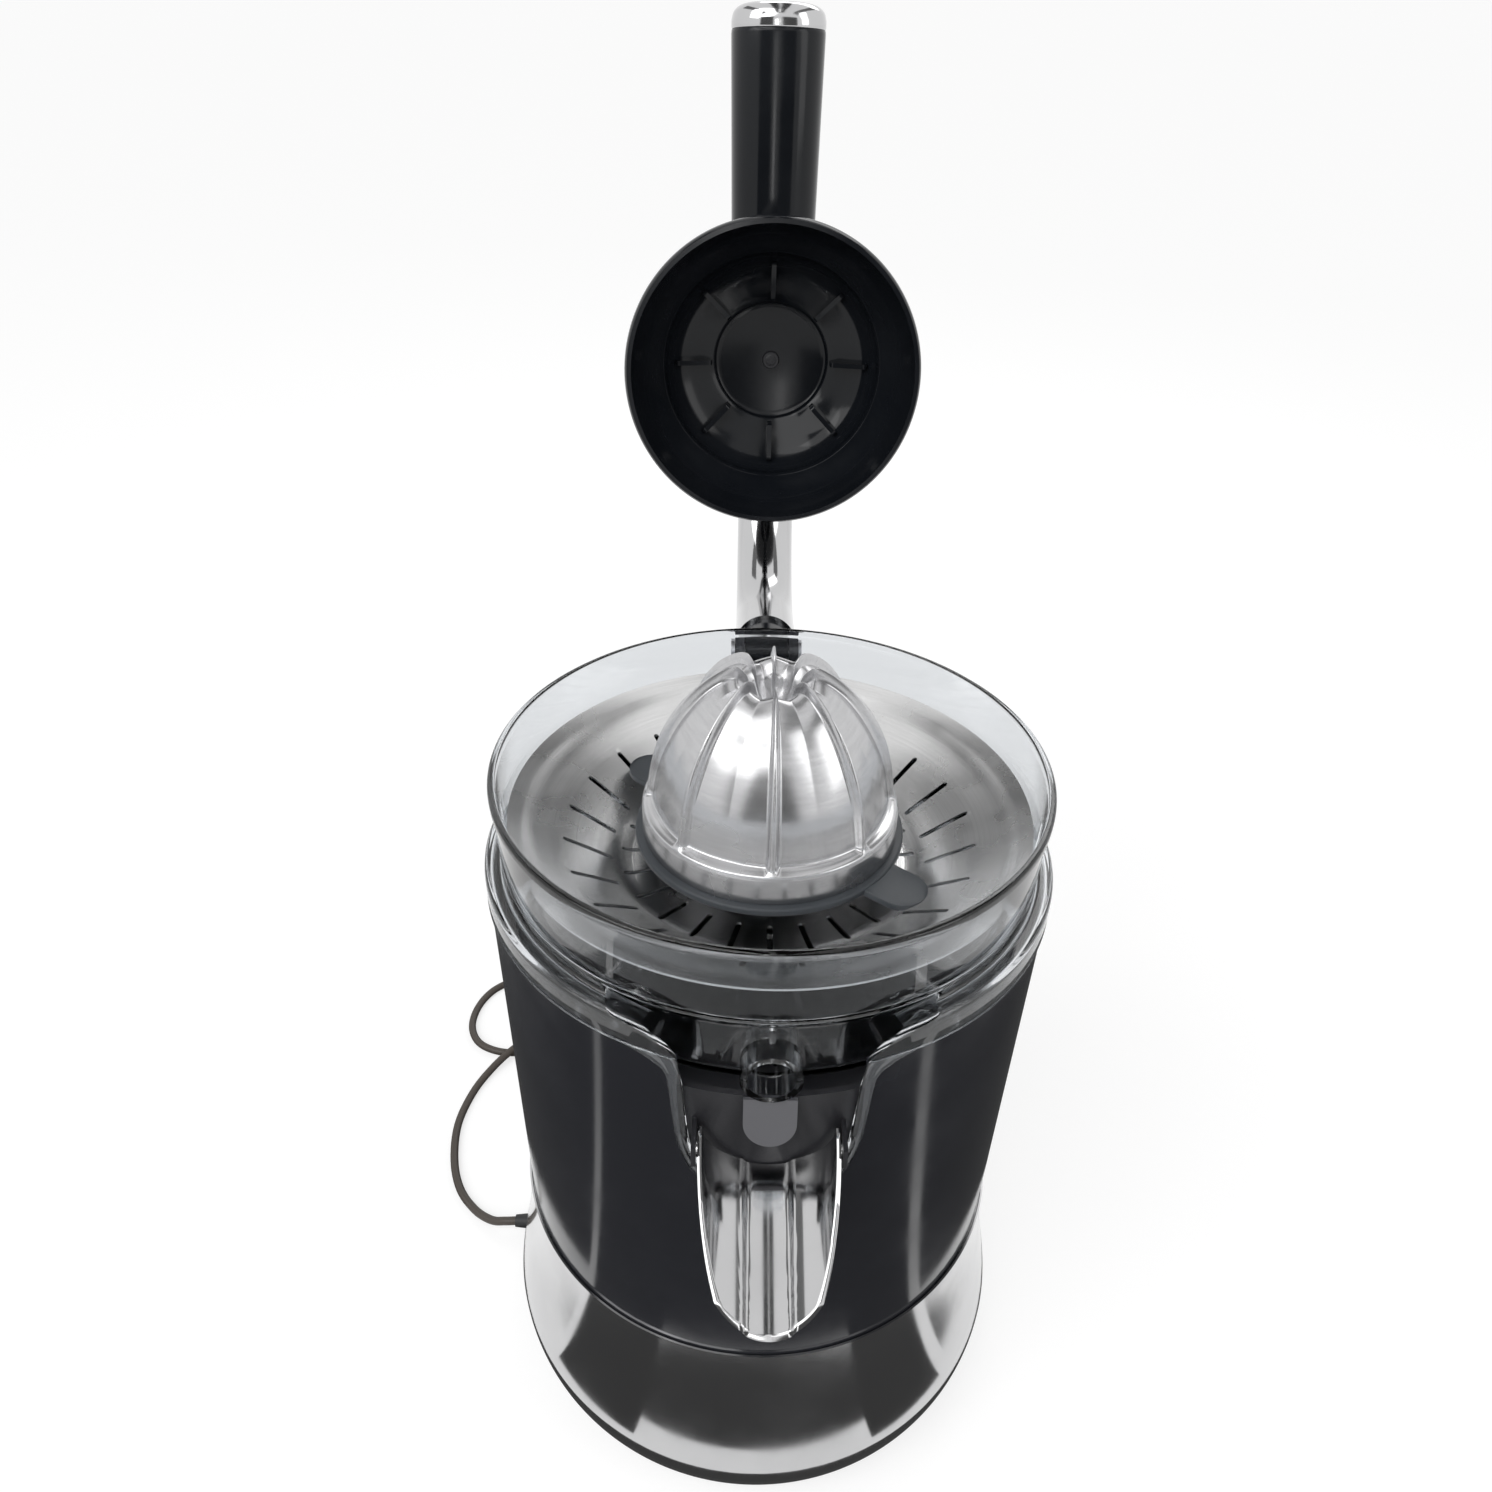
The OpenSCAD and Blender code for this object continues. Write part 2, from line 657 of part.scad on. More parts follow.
module bottom_cover() color([0.12, 0.12, 0.13]) difference() {
    disc(base_foot_r - base_wall - gap, cover_z, cover_t);
    foot_places() translate([0, 0, cover_z - cut]) cylinder(r = foot_stem_r + fit, h = cover_t + 2 * cut);
    around(4) translate([screw_ring_r, 0, cover_z - cut]) {
        cylinder(r = screw_r + fit, h = cover_t + 2 * cut);
        cylinder(r = screw_head_r + gap, h = screw_head_h + cut + fit);
    }
    // Air inlet under the fan
    around(vent_count) block([vent_in_r, -vent_w / 2, cover_z - cut], [fan_r, vent_w / 2, ledge_z + cut]);
    cord_bore(relief_hole_r);
}

// Four feet near the edge and one under the middle of the cover
module foot_places() {
    around(4, 45) translate([foot_ring_r, 0, 0]) children();
    children();
}
module rubber_feet() color([0.08, 0.08, 0.08]) foot_places() {
    cylinder(r1 = foot_r - foot_taper, r2 = foot_r, h = foot_show);
    cylinder(r = foot_stem_r, h = foot_show + cover_t);
}

module base_screws() color([0.6, 0.6, 0.62]) around(4) translate([screw_ring_r, 0, cover_z])
    screw_up(screw_r, chassis_z - cover_z + boss_h - gap, screw_head_r, screw_head_h);

module motor_chassis() color([0.13, 0.13, 0.14]) difference() {
    union() {
        ring(base_foot_r - base_wall - gap - base_wall_lip, post_ring_r - post_r - 2 * base_wall_lip,
            chassis_z, chassis_t);
        around(4, 45) translate([post_ring_r, 0, chassis_z])
            cylinder(r = post_r, h = upper_plate_z - chassis_z);
        around(4) translate([screw_ring_r, 0, ledge_z])
            cylinder(r = post_r, h = chassis_z - ledge_z + boss_h);
    }
    around(4) translate([screw_ring_r, 0, ledge_z - cut])
        cylinder(r = screw_r + fit, h = chassis_z - ledge_z + boss_h + 2 * cut);
    around(4, 45) translate([post_ring_r, 0, upper_plate_z - long_screw_l])
        cylinder(r = screw_r + fit, h = long_screw_l + cut);
    cord_bore(relief_hole_r);
    clamp_block(gap);
    // Way of the sheath up to the terminal block
    block([clamp_x + clamp_l - cut, cord_way[1] - relief_hole_r, ledge_z - cut],
        [terminal_x - relief_hole_r, cord_way[1] + relief_hole_r, chassis_z + chassis_t + cut]);
}

module motor_lower_bracket() color([0.62, 0.63, 0.64]) difference() {
    union() {
        disc(stator_r, lower_plate_z, bracket_t);
        ring(stator_r, stator_r - bracket_wall, lower_plate_z, stator_z - lower_plate_z);
        disc(boss_r, lower_plate_z, bearing_h);
    }
    disc(bearing_r + fit, lower_plate_z - cut, bearing_h + 2 * cut);
    around(6) translate([(boss_r + stator_r) / 2, 0, lower_plate_z - cut])
        cylinder(r = boss_eye_r, h = bracket_t + 2 * cut);
}

module motor_upper_bracket() color([0.62, 0.63, 0.64]) difference() {
    union() {
        disc(stator_r, upper_plate_z, bracket_t);
        ring(stator_r, stator_r - bracket_wall, stator_top_z, upper_plate_z - stator_top_z);
        disc(boss_r, gearbox_z - bearing_h, bearing_h);
        around(4, 45) {
            block([0, -post_r, upper_plate_z], [post_ring_r, post_r, gearbox_z]);
            translate([post_ring_r, 0, upper_plate_z]) cylinder(r = post_r + post_ear_rim,
                h = bracket_t);
        }
    }
    disc(bearing_r + fit, gearbox_z - bearing_h - cut, bearing_h + 2 * cut);
    around(4, 45) translate([post_ring_r, 0, upper_plate_z - cut]) cylinder(r = screw_r + fit,
        h = bracket_t + 2 * cut);
    around(4) translate([(boss_r + stator_r) / 2, 0, upper_plate_z - cut])
        cylinder(r = boss_r - boss_lip, h = bracket_t + 2 * cut);
}

module motor_bearings() color([0.72, 0.52, 0.3]) {
    ring(bearing_r, rotor_shaft_r + fit, lower_plate_z, bearing_h);
    ring(bearing_r, rotor_shaft_r + fit, gearbox_z - bearing_h, bearing_h);
}

module stator_core() color([0.35, 0.36, 0.38]) ring(stator_r, rotor_r + gap, stator_z, stator_h);

module stator_windings() color([0.62, 0.3, 0.14]) {
    ring(winding_out_r, winding_in_r, stator_top_z, coil_end_h);
    ring(winding_out_r, winding_in_r, stator_z - coil_end_h, coil_end_h);
}

module rotor_core() color([0.5, 0.51, 0.53]) difference() {
    union() {
        disc(rotor_r, stator_z, stator_h);
        disc(rotor_r - 2 * base_wall_lip, stator_z - rotor_ring_h, stator_h + 2 * rotor_ring_h);
    }
    disc(rotor_shaft_r + fit, stator_z - rotor_ring_h - cut, stator_h + 2 * rotor_ring_h + 2 * cut);
}

module rotor_shaft() color([0.7, 0.71, 0.72]) {
    disc(rotor_shaft_r, shaft_low_z, rotor_top_z - shaft_low_z);
    translate([0, 0, pinion_a_z]) gear(module_ab, teeth_a, pinion_a_h);
}

module cooling_fan() color([0.85, 0.85, 0.82]) difference() {
    union() {
        disc(fan_hub_r, fan_z, fan_h);
        disc(fan_r, fan_z + fan_h - fan_t, fan_t);
        around(fan_blades) block([fan_hub_r / 2, -fan_t / 2, fan_z + fan_t / 2],
            [fan_r - fan_t, fan_t / 2, fan_z + fan_h - fan_t / 2]);
    }
    disc(rotor_shaft_r + fit, fan_z - cut, fan_h + 2 * cut);
}

// Outline of the gearbox: a circle about each axis
module box_shape(inset, z, h) {
    disc(box_main_r - inset, z, h);
    translate([idler_a, 0, 0]) disc(box_idler_r - inset, z, h);
}

module gearbox_housing() color([0.78, 0.78, 0.76]) difference() {
    union() {
        difference() {
            box_shape(0, gearbox_z, box_top_z - gearbox_z);
            box_shape(box_wall + box_ledge, box_in_z, box_top_z);
            box_shape(box_wall, bridge_z, box_top_z);
        }
        around(4, 45) difference() {
            union() {
                block([box_main_r - 2 * box_wall, -post_r, gearbox_z],
                    [post_ring_r, post_r, gearbox_z + ear_h]);
                translate([post_ring_r, 0, gearbox_z]) cylinder(r = post_r + post_ear_rim, h = ear_h);
            }
            translate([post_ring_r, 0, gearbox_z - cut]) cylinder(r = screw_r + fit, h = ear_h + 2 * cut);
        }
        translate([idler_a, 0, 0]) disc(idler_boss_r, gearbox_z, gear_b_z - gap / 2 - gearbox_z);
        block([-switch_x, -switch_w / 2, gearbox_z], [box_wall - box_main_r, switch_w / 2, bridge_z]);
    }
    disc(boss_r - boss_lip, gearbox_z - cut, box_floor_t + 2 * cut);
    translate([idler_a, 0, 0]) disc(idler_pin_r + fit / 2, gearbox_z + box_floor_t / 2, box_top_z);
    // The idler's boss stays inside the ears that cross it
    block([-box_main_r - cut, -finger_w / 2 - 2 * gap, finger_z - press_travel - 2 * gap],
        [-box_main_r / 2, finger_w / 2 + 2 * gap, cup_top_z + gap]);
}

module gearbox_bridge() color([0.7, 0.7, 0.68]) {
    difference() {
        box_shape(box_wall + gap, bridge_z, bridge_t);
        translate([idler_a, 0, 0]) disc(module_cd * (teeth_c / 2 + 1) + cut, bridge_z - cut,
            bridge_t + 2 * cut);
    }
    disc(spring_post_r, bridge_z, bridge_t + spring_post_h);
}

module gearbox_cover() color([0.78, 0.78, 0.76]) difference() {
    union() {
        box_shape(0, box_top_z, box_cover_t);
        disc(bush_r + box_wall, box_top_z, box_cover_t + low_bush_h);
        translate([idler_a, 0, 0]) disc(idler_boss_r, box_top_z - boss_drop, boss_drop + box_cover_t);
    }
    disc(bush_r + fit, box_top_z + box_cover_t, low_bush_h + cut);
    disc(shaft_r + gap, box_top_z - cut, box_cover_t + 2 * cut);
    translate([idler_a, 0, 0]) disc(idler_pin_r + fit / 2, box_top_z - boss_drop - cut,
        boss_drop + cut + box_cover_t / 2);
    for (a = cover_screw_angles) cover_screw_at(a) translate([0, 0, box_top_z - cut])
        cylinder(r = small_screw_r + fit, h = box_cover_t + 2 * cut);
}

cover_screw_angles = [-60, 60, 150, 210];
// Screws that hold the cover sit in the middle of the gearbox wall
module cover_screw_at(a) {
    wide = abs(a) < quarter;
    translate([wide ? idler_a : 0, 0, 0]) rotate(a)
        translate([(wide ? box_idler_r : box_main_r) - box_wall / 2, 0, 0]) children();
}

module gearbox_screws() color([0.6, 0.6, 0.62]) {
    around(4, 45) translate([post_ring_r, 0, gearbox_z + ear_h + screw_head_h]) mirror([0, 0, 1])
        screw_up(screw_r, screw_head_h + ear_h + bracket_t + long_screw_l - 2 * gap, screw_head_r,
            screw_head_h);
    for (a = cover_screw_angles) cover_screw_at(a) translate([0, 0, box_top_z + box_cover_t + small_head_h])
        mirror([0, 0, 1])
        screw_up(small_screw_r, small_head_h + box_cover_t, small_head_r, small_head_h);
}

module idler_gear() color([0.9, 0.88, 0.8]) translate([idler_a, 0, 0]) difference() {
    union() {
        rotate(teeth_b % 2 == 0 ? 180 / teeth_b : 0) translate([0, 0, gear_b_z])
            gear(module_ab, teeth_b, gear_b_h);
        rotate(teeth_c % 2 == 0 ? 0 : 180 / teeth_c) translate([0, 0, gear_b_z])
            gear(module_cd, teeth_c, pinion_c_top_z - gear_b_z);
    }
    disc(idler_pin_r + fit, gear_b_z - cut, box_top_z);
}

module idler_pin() color([0.7, 0.71, 0.72]) translate([idler_a, 0, 0])
    disc(idler_pin_r, gearbox_z + box_floor_t / 2, box_top_z + box_cover_t / 2 - gearbox_z - box_floor_t / 2);

module output_gear() color([0.9, 0.88, 0.8]) difference() {
    union() {
        rotate(180 / teeth_d) translate([0, 0, gear_d_z]) gear(module_cd, teeth_d, gear_d_h);
        disc(boss_r + pinion_over, gear_d_z, gear_d_h + gear_hub_over);
    }
    disc(shaft_r + fit, gear_d_z - cut, gear_d_h + gear_hub_over + 2 * cut);
}

module shaft_flat(extra) {
    block([shaft_r * flat_share + extra, -2 * shaft_r, hub_low_z], [2 * shaft_r, 2 * shaft_r,
        hub_low_z + hub_drive_depth + 2 * cut]);
}
module drive_shaft() color([0.72, 0.73, 0.74]) difference() {
    union() {
        disc(shaft_r, cup_top_z, hub_low_z + hub_drive_depth - cup_top_z - gap);
        // Collar that holds the output gear up
        disc(shaft_r + collar_w, gear_d_z + gear_d_h + gear_hub_over, collar_t);
        disc(shaft_r + collar_w, cup_top_z, gear_d_z - cup_top_z);
    }
    shaft_flat(0);
}

module lower_shaft_bush() color([0.72, 0.52, 0.3]) ring(bush_r, shaft_r + fit, box_top_z + box_cover_t,
    low_bush_h);
module upper_shaft_bush() color([0.72, 0.52, 0.3])
    ring(bush_r, shaft_r + fit, tower_top_z - seal_h - up_bush_h, up_bush_h);
module shaft_seal() color([0.1, 0.1, 0.1]) ring(seal_r, shaft_r + fit, tower_top_z - seal_h, seal_h);

module thrust_cup() color([0.88, 0.88, 0.86]) difference() {
    union() {
        disc(cup_r, cup_roof_z, cup_t);
        disc(cup_sleeve_r, cup_roof_z - cup_sleeve_h, cup_sleeve_h);
        block([-finger_reach, -finger_w / 2, finger_z], [0, finger_w / 2, cup_top_z]);
    }
    disc(spring_post_r + fit, cup_roof_z - cup_sleeve_h - cut, cup_sleeve_h + cut);
}

// Return spring, one unbroken wire with straight-cut ends
spring_low_z = bridge_top_z + spring_wire_r + fit;
spring_high_z = cup_roof_z - spring_wire_r - fit;
spring_path = [for (i = [0:spring_turns * 12]) let (a = 30 * i)
    [spring_mid_r * cos(a), spring_mid_r * sin(a),
        spring_low_z + (spring_high_z - spring_low_z) * i / (spring_turns * 12)]];
module return_spring() color([0.7, 0.7, 0.72]) sweep_tube(spring_path, spring_wire_r, 6);

module micro_switch() color([0.1, 0.1, 0.11]) difference() {
    block([-switch_x - switch_t, -switch_w / 2, switch_low_z],
        [-switch_x, switch_w / 2, switch_low_z + switch_h]);
    translate([plunger_x, 0, switch_low_z + switch_h / 2]) cylinder(r = plunger_r + fit, h = switch_h);
}
module switch_plunger() color([0.75, 0.2, 0.15]) translate([plunger_x, 0, 0])
    disc(plunger_r, switch_low_z + switch_h / 2 + press_travel + gap,
        finger_z - switch_low_z - switch_h / 2 - press_travel - gap);

// Cord sheath from its clamp, and two wires up to the switch
module inner_leads() color([0.16, 0.12, 0.1]) {
    sweep_tube(smooth(sheath_points, 3), cord_r - fit, 8);
    for (p = wire_points) sweep_tube(smooth(p, 3), wire_r, 6);
}

// Front notch of the body, seen from the front
module notch_shape(inset, top) {
    polygon(concat([for (q = notch_shares) [-(notch_half_w - inset) * q[0],
        notch_low_z + inset + (body_top_z - notch_low_z) * q[1]]],
        [[-(notch_half_w - inset), top], [notch_half_w - inset, top]],
        [for (i = [len(notch_shares) - 1:-1:0]) let (q = notch_shares[i])
            [(notch_half_w - inset) * q[0], notch_low_z + inset + (body_top_z - notch_low_z) * q[1]]]));
}
notch_shares = [[0.3, 0.008], [0.58, 0.045], [0.78, 0.11], [0.9, 0.2], [0.96, 0.34], [1, 0.6]];
module front_prism() { rotate([90, 0, 0]) linear_extrude(2 * rim_r) children(); }

module body_shell() color([0.06, 0.06, 0.07]) difference() {
    union() {
        turned([[body_low_r, body_low_z], [body_top_r, body_top_z], [body_top_r - body_wall, body_top_z],
            [body_low_r - body_wall, body_low_z]]);
        ring(body_low_r - body_wall / 2, body_low_r - flange_w, body_low_z, flange_t);
        around(4, 45) translate([case_screw_r, 0, body_low_z]) cylinder(r = case_boss_r, h = boss_h);
        // Ledge for the deck, left out behind the spout housing
        difference() {
            union() {
                ring(body_top_r - body_wall / 2, deck_ledge_r, deck_z - flange_t, flange_t);
                around(4, 45) translate([deck_screw_r, 0, deck_z - boss_h])
                    cylinder(r = case_boss_r, h = boss_h);
            }
            block([-plate_half_w - cheek_t, -2 * rim_r, body_low_z], [plate_half_w + cheek_t, 0, rim_z]);
        }
    }
    around(4, 45) translate([case_screw_r, 0, body_low_z - cut]) cylinder(r = screw_r + fit,
        h = boss_h + 2 * cut);
    around(4, 45) translate([deck_screw_r, 0, deck_z - boss_h - cut]) cylinder(r = screw_r + fit,
        h = boss_h + 2 * cut);
    front_prism() notch_shape(0, body_top_z + cut);
    bracket_screw_places() cylinder(r = screw_r + fit, h = 2 * bracket_deep);
}

module case_screws() color([0.6, 0.6, 0.62]) {
    around(4, 45) translate([case_screw_r, 0, body_low_z - shelf_t - screw_head_h])
        screw_up(screw_r, screw_head_h + shelf_t + boss_h - gap, screw_head_r, screw_head_h);
    around(4, 45) translate([deck_screw_r, 0, deck_z + deck_t + screw_head_h]) mirror([0, 0, 1])
        screw_up(screw_r, screw_head_h + deck_t + boss_h - gap, screw_head_r, screw_head_h);
}

module top_deck() color([0.09, 0.09, 0.1]) difference() {
    union() {
        disc(deck_r, deck_z, deck_t);
        difference() {
            ring(deck_r, deck_r - deck_wall, deck_z, deck_wall_h);
            block([-plate_half_w, -2 * rim_r, deck_z + deck_t], [plate_half_w, 0, rim_z]);
        }
        disc(tower_r, deck_z, tower_top_z - deck_z);
        disc(tower_r + tower_foot_w, tower_top_z - seal_h - up_bush_h - tower_foot_h, tower_foot_h);
        for (s = [-1, 1]) block([s * (lug_half_gap + lug_w / 2) - lug_w / 2, -lug_y - lug_d, deck_z],
            [s * (lug_half_gap + lug_w / 2) + lug_w / 2, -lug_y, deck_z + deck_t + lug_h]);
    }
    disc(bush_r + fit, tower_top_z - seal_h - up_bush_h, up_bush_h + seal_h + cut);
    disc(seal_r + fit, tower_top_z - seal_h, seal_h + cut);
    disc(shaft_r + gap, deck_z - cut, tower_top_z);
    around(4, 45) translate([deck_screw_r, 0, deck_z - cut]) cylinder(r = screw_r + fit,
        h = deck_t + 2 * cut);
}

// Height of the spout's side edges at the root, and where its pegs are
root_top_z = root_floor_z + spout_deep;
peg_y = root_y - peg_back;
peg_z = root_top_z - peg_drop;
spout_out_w = spout_half_w + spout_t;

module spout_housing() color([0.07, 0.07, 0.08]) difference() {
    union() {
        intersection() {
            ring(plate_r, plate_r - plate_t, plate_low_z, plate_top_z - plate_low_z);
            block([-plate_half_w, -2 * rim_r, plate_low_z], [plate_half_w, 0, plate_top_z]);
        }
        for (s = [0, 1]) mirror([s, 0, 0]) block([spout_out_w + cheek_gap, peg_y - 2 * spout_peg_r,
            peg_z - cheek_half_h],
            [spout_out_w + cheek_gap + cheek_t, -plate_r * cheek_root_share, peg_z + cheek_half_h]);
    }
    translate([-spout_out_w - cheek_gap - cheek_t - cut, peg_y, peg_z]) rotate([0, 90, 0])
        cylinder(r = spout_peg_r + fit, h = 2 * (spout_out_w + cheek_gap + cheek_t + cut));
}

// Cross-section of the trough: half an ellipse with a shallow channel along its middle
module trough_shape(w, d) {
    polygon([for (i = [0:trough_steps]) let (a = 180 * i / trough_steps, x = w * cos(a))
        [x, -d * sin(a) - channel_deep * min(1, max(0, (channel_half_w - abs(x)) / channel_deep))]]);
}
trough_steps = 32;
module trough(w, d) {
    translate([0, spout_back_y, root_top_z]) rotate([90 + floor_slope, 0, 0])
        linear_extrude(spout_l / cos(floor_slope) + spout_deep)
        trough_shape(w, d);
}
spout_back_y = -(plate_r + fit + gap);
spout_tip_y = root_y - spout_l;
edge_slope = atan2(spout_deep + spout_l * tan(floor_slope) - spout_t, spout_l);
module spout() color([0.8, 0.81, 0.82]) {
    intersection() {
        difference() {
            trough(spout_out_w, spout_deep + spout_t);
            trough(spout_half_w, spout_deep);
            // Side edges run down to the tip
            translate([0, root_y, root_top_z]) rotate([edge_slope, 0, 0])
                block([-rim_r, -2 * spout_l, 0], [rim_r, spout_l, spout_l]);
            block([-rim_r, root_y, root_top_z], [rim_r, 0, rim_z]);
            translate([-spout_half_w, spout_back_y, root_top_z - floor_cut])
                cube([2 * spout_half_w, rim_r, 2 * spout_deep]);
        }
        // Rounded tip seen from above
        union() {
            disc_at(0, spout_tip_y + spout_out_w, spout_out_w);
            block([-spout_out_w, spout_tip_y + spout_out_w, 0], [spout_out_w, spout_back_y, rim_z]);
        }
    }
    for (s = [0, 1]) mirror([s, 0, 0]) translate([spout_half_w + spout_t / 2, peg_y, peg_z])
        rotate([0, 90, 0])
        cylinder(r = spout_peg_r, h = spout_t / 2 + cheek_gap + spout_peg_l);
}
floor_cut = 4 * spout_deep;
module disc_at(x, y, r) { translate([x, y, 0]) cylinder(r = r, h = rim_z); }

module drip_flap() color([0.45, 0.46, 0.48]) translate([0, -plate_r - gap / 2, plate_top_z])
    rotate([90 - flap_angle, 0, 0]) linear_extrude(flap_t) {
    translate([-flap_w / 2, flap_w / 2 - flap_drop]) square([flap_w, flap_drop - flap_w / 2]);
    translate([0, flap_w / 2 - flap_drop]) circle(r = flap_w / 2);
}
flap_drop = plate_top_z - flap_low_z;
flap_angle = atan2(flap_lean, flap_drop);

// Apron outline, seen from the front: shares of its height and of its half width at the flare
apron_h = body_top_z - apron_low_z;
apron_out_shares = [[0, 0], [0.21, 0.015], [0.37, 0.06], [0.512, 0.155], [0.586, 0.26], [0.633, 0.4],
    [0.66, 0.58],
    [0.686, 0.82], [0.715, 0.9], [0.78, 0.945], [0.88, 0.98], [1, 1]];
apron_in_shares = [[0, 0.075], [0.16, 0.085], [0.3, 0.13], [0.41, 0.2], [0.488, 0.28], [0.537, 0.4],
    [0.558, 0.58],
    [0.58, 0.8], [0.6, 0.9], [0.62, 1], [0.68, 1.06], [0.68, 1.1]];
skirt_open_shares = [[0.6, 0.9], [0.62, 1], [0.68, 1.06], [0.79, 1.12], [0.92, 1.16], [1.05, 1.18],
    [1.05, 1.23]];
module apron_side(shares) {
    polygon(concat([for (q = shares) [apron_flare_w * q[0], apron_low_z + apron_h * q[1]]],
        [for (i = [len(shares) - 1:-1:0]) [-apron_flare_w * shares[i][0],
            apron_low_z + apron_h * shares[i][1]]]));
}

module juice_bowl() color([0.85, 0.88, 0.9, 0.35]) {
    difference() {
        union() {
            difference() {
                turned(bowl_outline);
                // The skirt is open in front of the outlet
                difference() {
                    front_prism() apron_side(skirt_open_shares);
                    turned([[0, 0], [basin_r + fit, 0], [basin_r + fit, skirt_top_z - bowl_wall],
                        [waist_r + fit, waist_z],
                        [waist_r + fit, rim_z], [0, rim_z]]);
                }
            }
            around(rest_rib_count, -90) block([chimney_r - bowl_wall / 2, -rest_rib_w / 2,
                basin_low_z + bowl_wall / 2],
                [rest_rib_out_r, rest_rib_w / 2, strainer_z - strainer_t]);
            nozzle(nozzle_r, basin_r - bowl_wall / 2, nozzle_mouth_y);
        }
        nozzle(nozzle_r - bowl_wall, basin_r - 3 * bowl_wall, nozzle_mouth_y + cut);
    }
    intersection() {
        turned([[body_top_r + apron_gap - apron_h * body_draft, apron_low_z],
            [body_top_r + apron_gap, body_top_z],
            [body_top_r + apron_gap, body_top_z + cut], [skirt_r, body_top_z + cut],
            [body_top_r + apron_gap + apron_t - apron_h * body_draft, apron_low_z]]);
        front_prism() difference() {
            apron_side(apron_out_shares);
            apron_side(apron_in_shares);
        }
    }
}
module nozzle(r, y0, y1) { translate([0, -y0, nozzle_z]) rotate([90, 0, 0]) cylinder(r = r, h = y1 - y0); }

module strainer() color([0.72, 0.72, 0.7]) difference() {
    turned(concat([for (i = [0:len(dish_r_shares) - 1]) [strainer_r * dish_r_shares[i],
        strainer_z + strainer_depth * dish_z_shares[i]]],
        [[strainer_hole_r, strainer_z], [strainer_hole_r, strainer_z - strainer_t]],
        [for (i = [len(dish_r_shares) - 1:-1:0]) [strainer_r * dish_r_shares[i],
            strainer_z + strainer_depth * dish_z_shares[i] - strainer_t]]));
    around(slot_count, -90) slot(inner_slot_in_share, inner_slot_out_share);
    around(slot_count, -90 + 180 / slot_count) slot(outer_slot_in_share, outer_slot_out_share);
}
module slot(in_share, out_share) {
    block([strainer_r * in_share, -slot_w / 2, strainer_z - cut], [strainer_r * out_share, slot_w / 2,
        strainer_edge_z]);
}

// Reamer: rings of points, each between the panel's and the rib's outline
rib_parts = rib_count * rib_steps;
function rib_share(k) =
    let (half = rib_steps / 2, t = abs((k + half) % rib_steps - half) / half)
    pow(1 - t, rib_sharp_power);
function reamer_ring(row) = [for (k = [0:rib_parts - 1]) let (a = 360 * k / rib_parts - 90, w = rib_share(k),
    r = reamer_r * (rib_r_shares[row] * w + panel_r_shares[row] * (1 - w)),
    z = band_top_z + crown_h * (rib_z_shares[row] * w + panel_z_shares[row] * (1 - w)))
    [r * cos(a), r * sin(a), z]];
module reamer_skin() {
    rows = len(rib_r_shares);
    foot = [for (k = [0:rib_parts - 1]) let (a = 360 * k / rib_parts - 90) [reamer_r * cos(a),
        reamer_r * sin(a), reamer_z]];
    points = concat(foot, [for (row = [0:rows - 1]) each reamer_ring(row)]);
    sides = [for (row = [0:rows - 1], k = [0:rib_parts - 1]) let (a = row * rib_parts + k,
        b = row * rib_parts + (k + 1) % rib_parts)
        each [[a, a + rib_parts, b], [b, a + rib_parts, b + rib_parts]]];
    polyhedron(points, concat(sides, [[for (k = [0:rib_parts - 1]) k]],
        [[for (k = [rib_parts - 1:-1:0]) rows * rib_parts + k]]), convexity = 10);
}
cavity_r_shares = [0.945, 0.84, 0.8, 0.71, 0.59, 0.43, 0.26, 0.21, 0];
cavity_z_shares = [-0.04, 0.07, 0.24, 0.44, 0.6, 0.72, 0.73, 0.66, 0.66];
module reamer_cone() color([0.8, 0.8, 0.8]) difference() {
    reamer_skin();
    turned(concat([[0, reamer_z - cut], [reamer_r * cavity_r_shares[0], reamer_z - cut]],
        [for (i = [0:len(cavity_r_shares) - 1]) [reamer_r * cavity_r_shares[i],
            band_top_z + crown_h * cavity_z_shares[i]]]));
}

hub_top_z = band_top_z + crown_h * cavity_z_shares[8];
module reamer_hub() color([0.12, 0.12, 0.13]) difference() {
    union() {
        disc(hub_r - hub_step, hub_low_z, hub_top_z - hub_low_z);
        disc(hub_r, hub_low_z, hub_drive_depth / 2);
    }
    difference() {
        disc(shaft_r + 2 * fit, hub_low_z - cut, hub_drive_depth + cut);
        shaft_flat(2 * fit);
    }
    disc(shaft_r + 2 * fit, hub_low_z - 2 * cut, 2 * cut);
}

module pulp_stirrer() color([0.1, 0.1, 0.11]) {
    ring(stirrer_out_r, stirrer_in_r, reamer_z - stirrer_h, stirrer_h);
    for (s = [0, 180]) rotate(wing_angle + s) intersection() {
        difference() {
            union() {
                block([stirrer_in_r + wing_root_w, -wing_w / 2, reamer_z - stirrer_h],
                    [wing_r, wing_w / 2, reamer_z - wing_drop]);
                block([stirrer_in_r + wing_root_w, -wing_t, reamer_z - wing_deep],
                    [wing_r - wing_t, wing_t, reamer_z - stirrer_h]);
            }
            turned(concat([for (i = [0:len(dish_r_shares) - 1]) [strainer_r * dish_r_shares[i],
                strainer_z + strainer_depth * dish_z_shares[i] + wing_lift]],
                [[0, strainer_z + wing_lift], [0, 0], [strainer_r, 0]]));
            disc(stirrer_in_r, 0, rim_z);
        }
        disc(wing_r, 0, rim_z);
    }
}

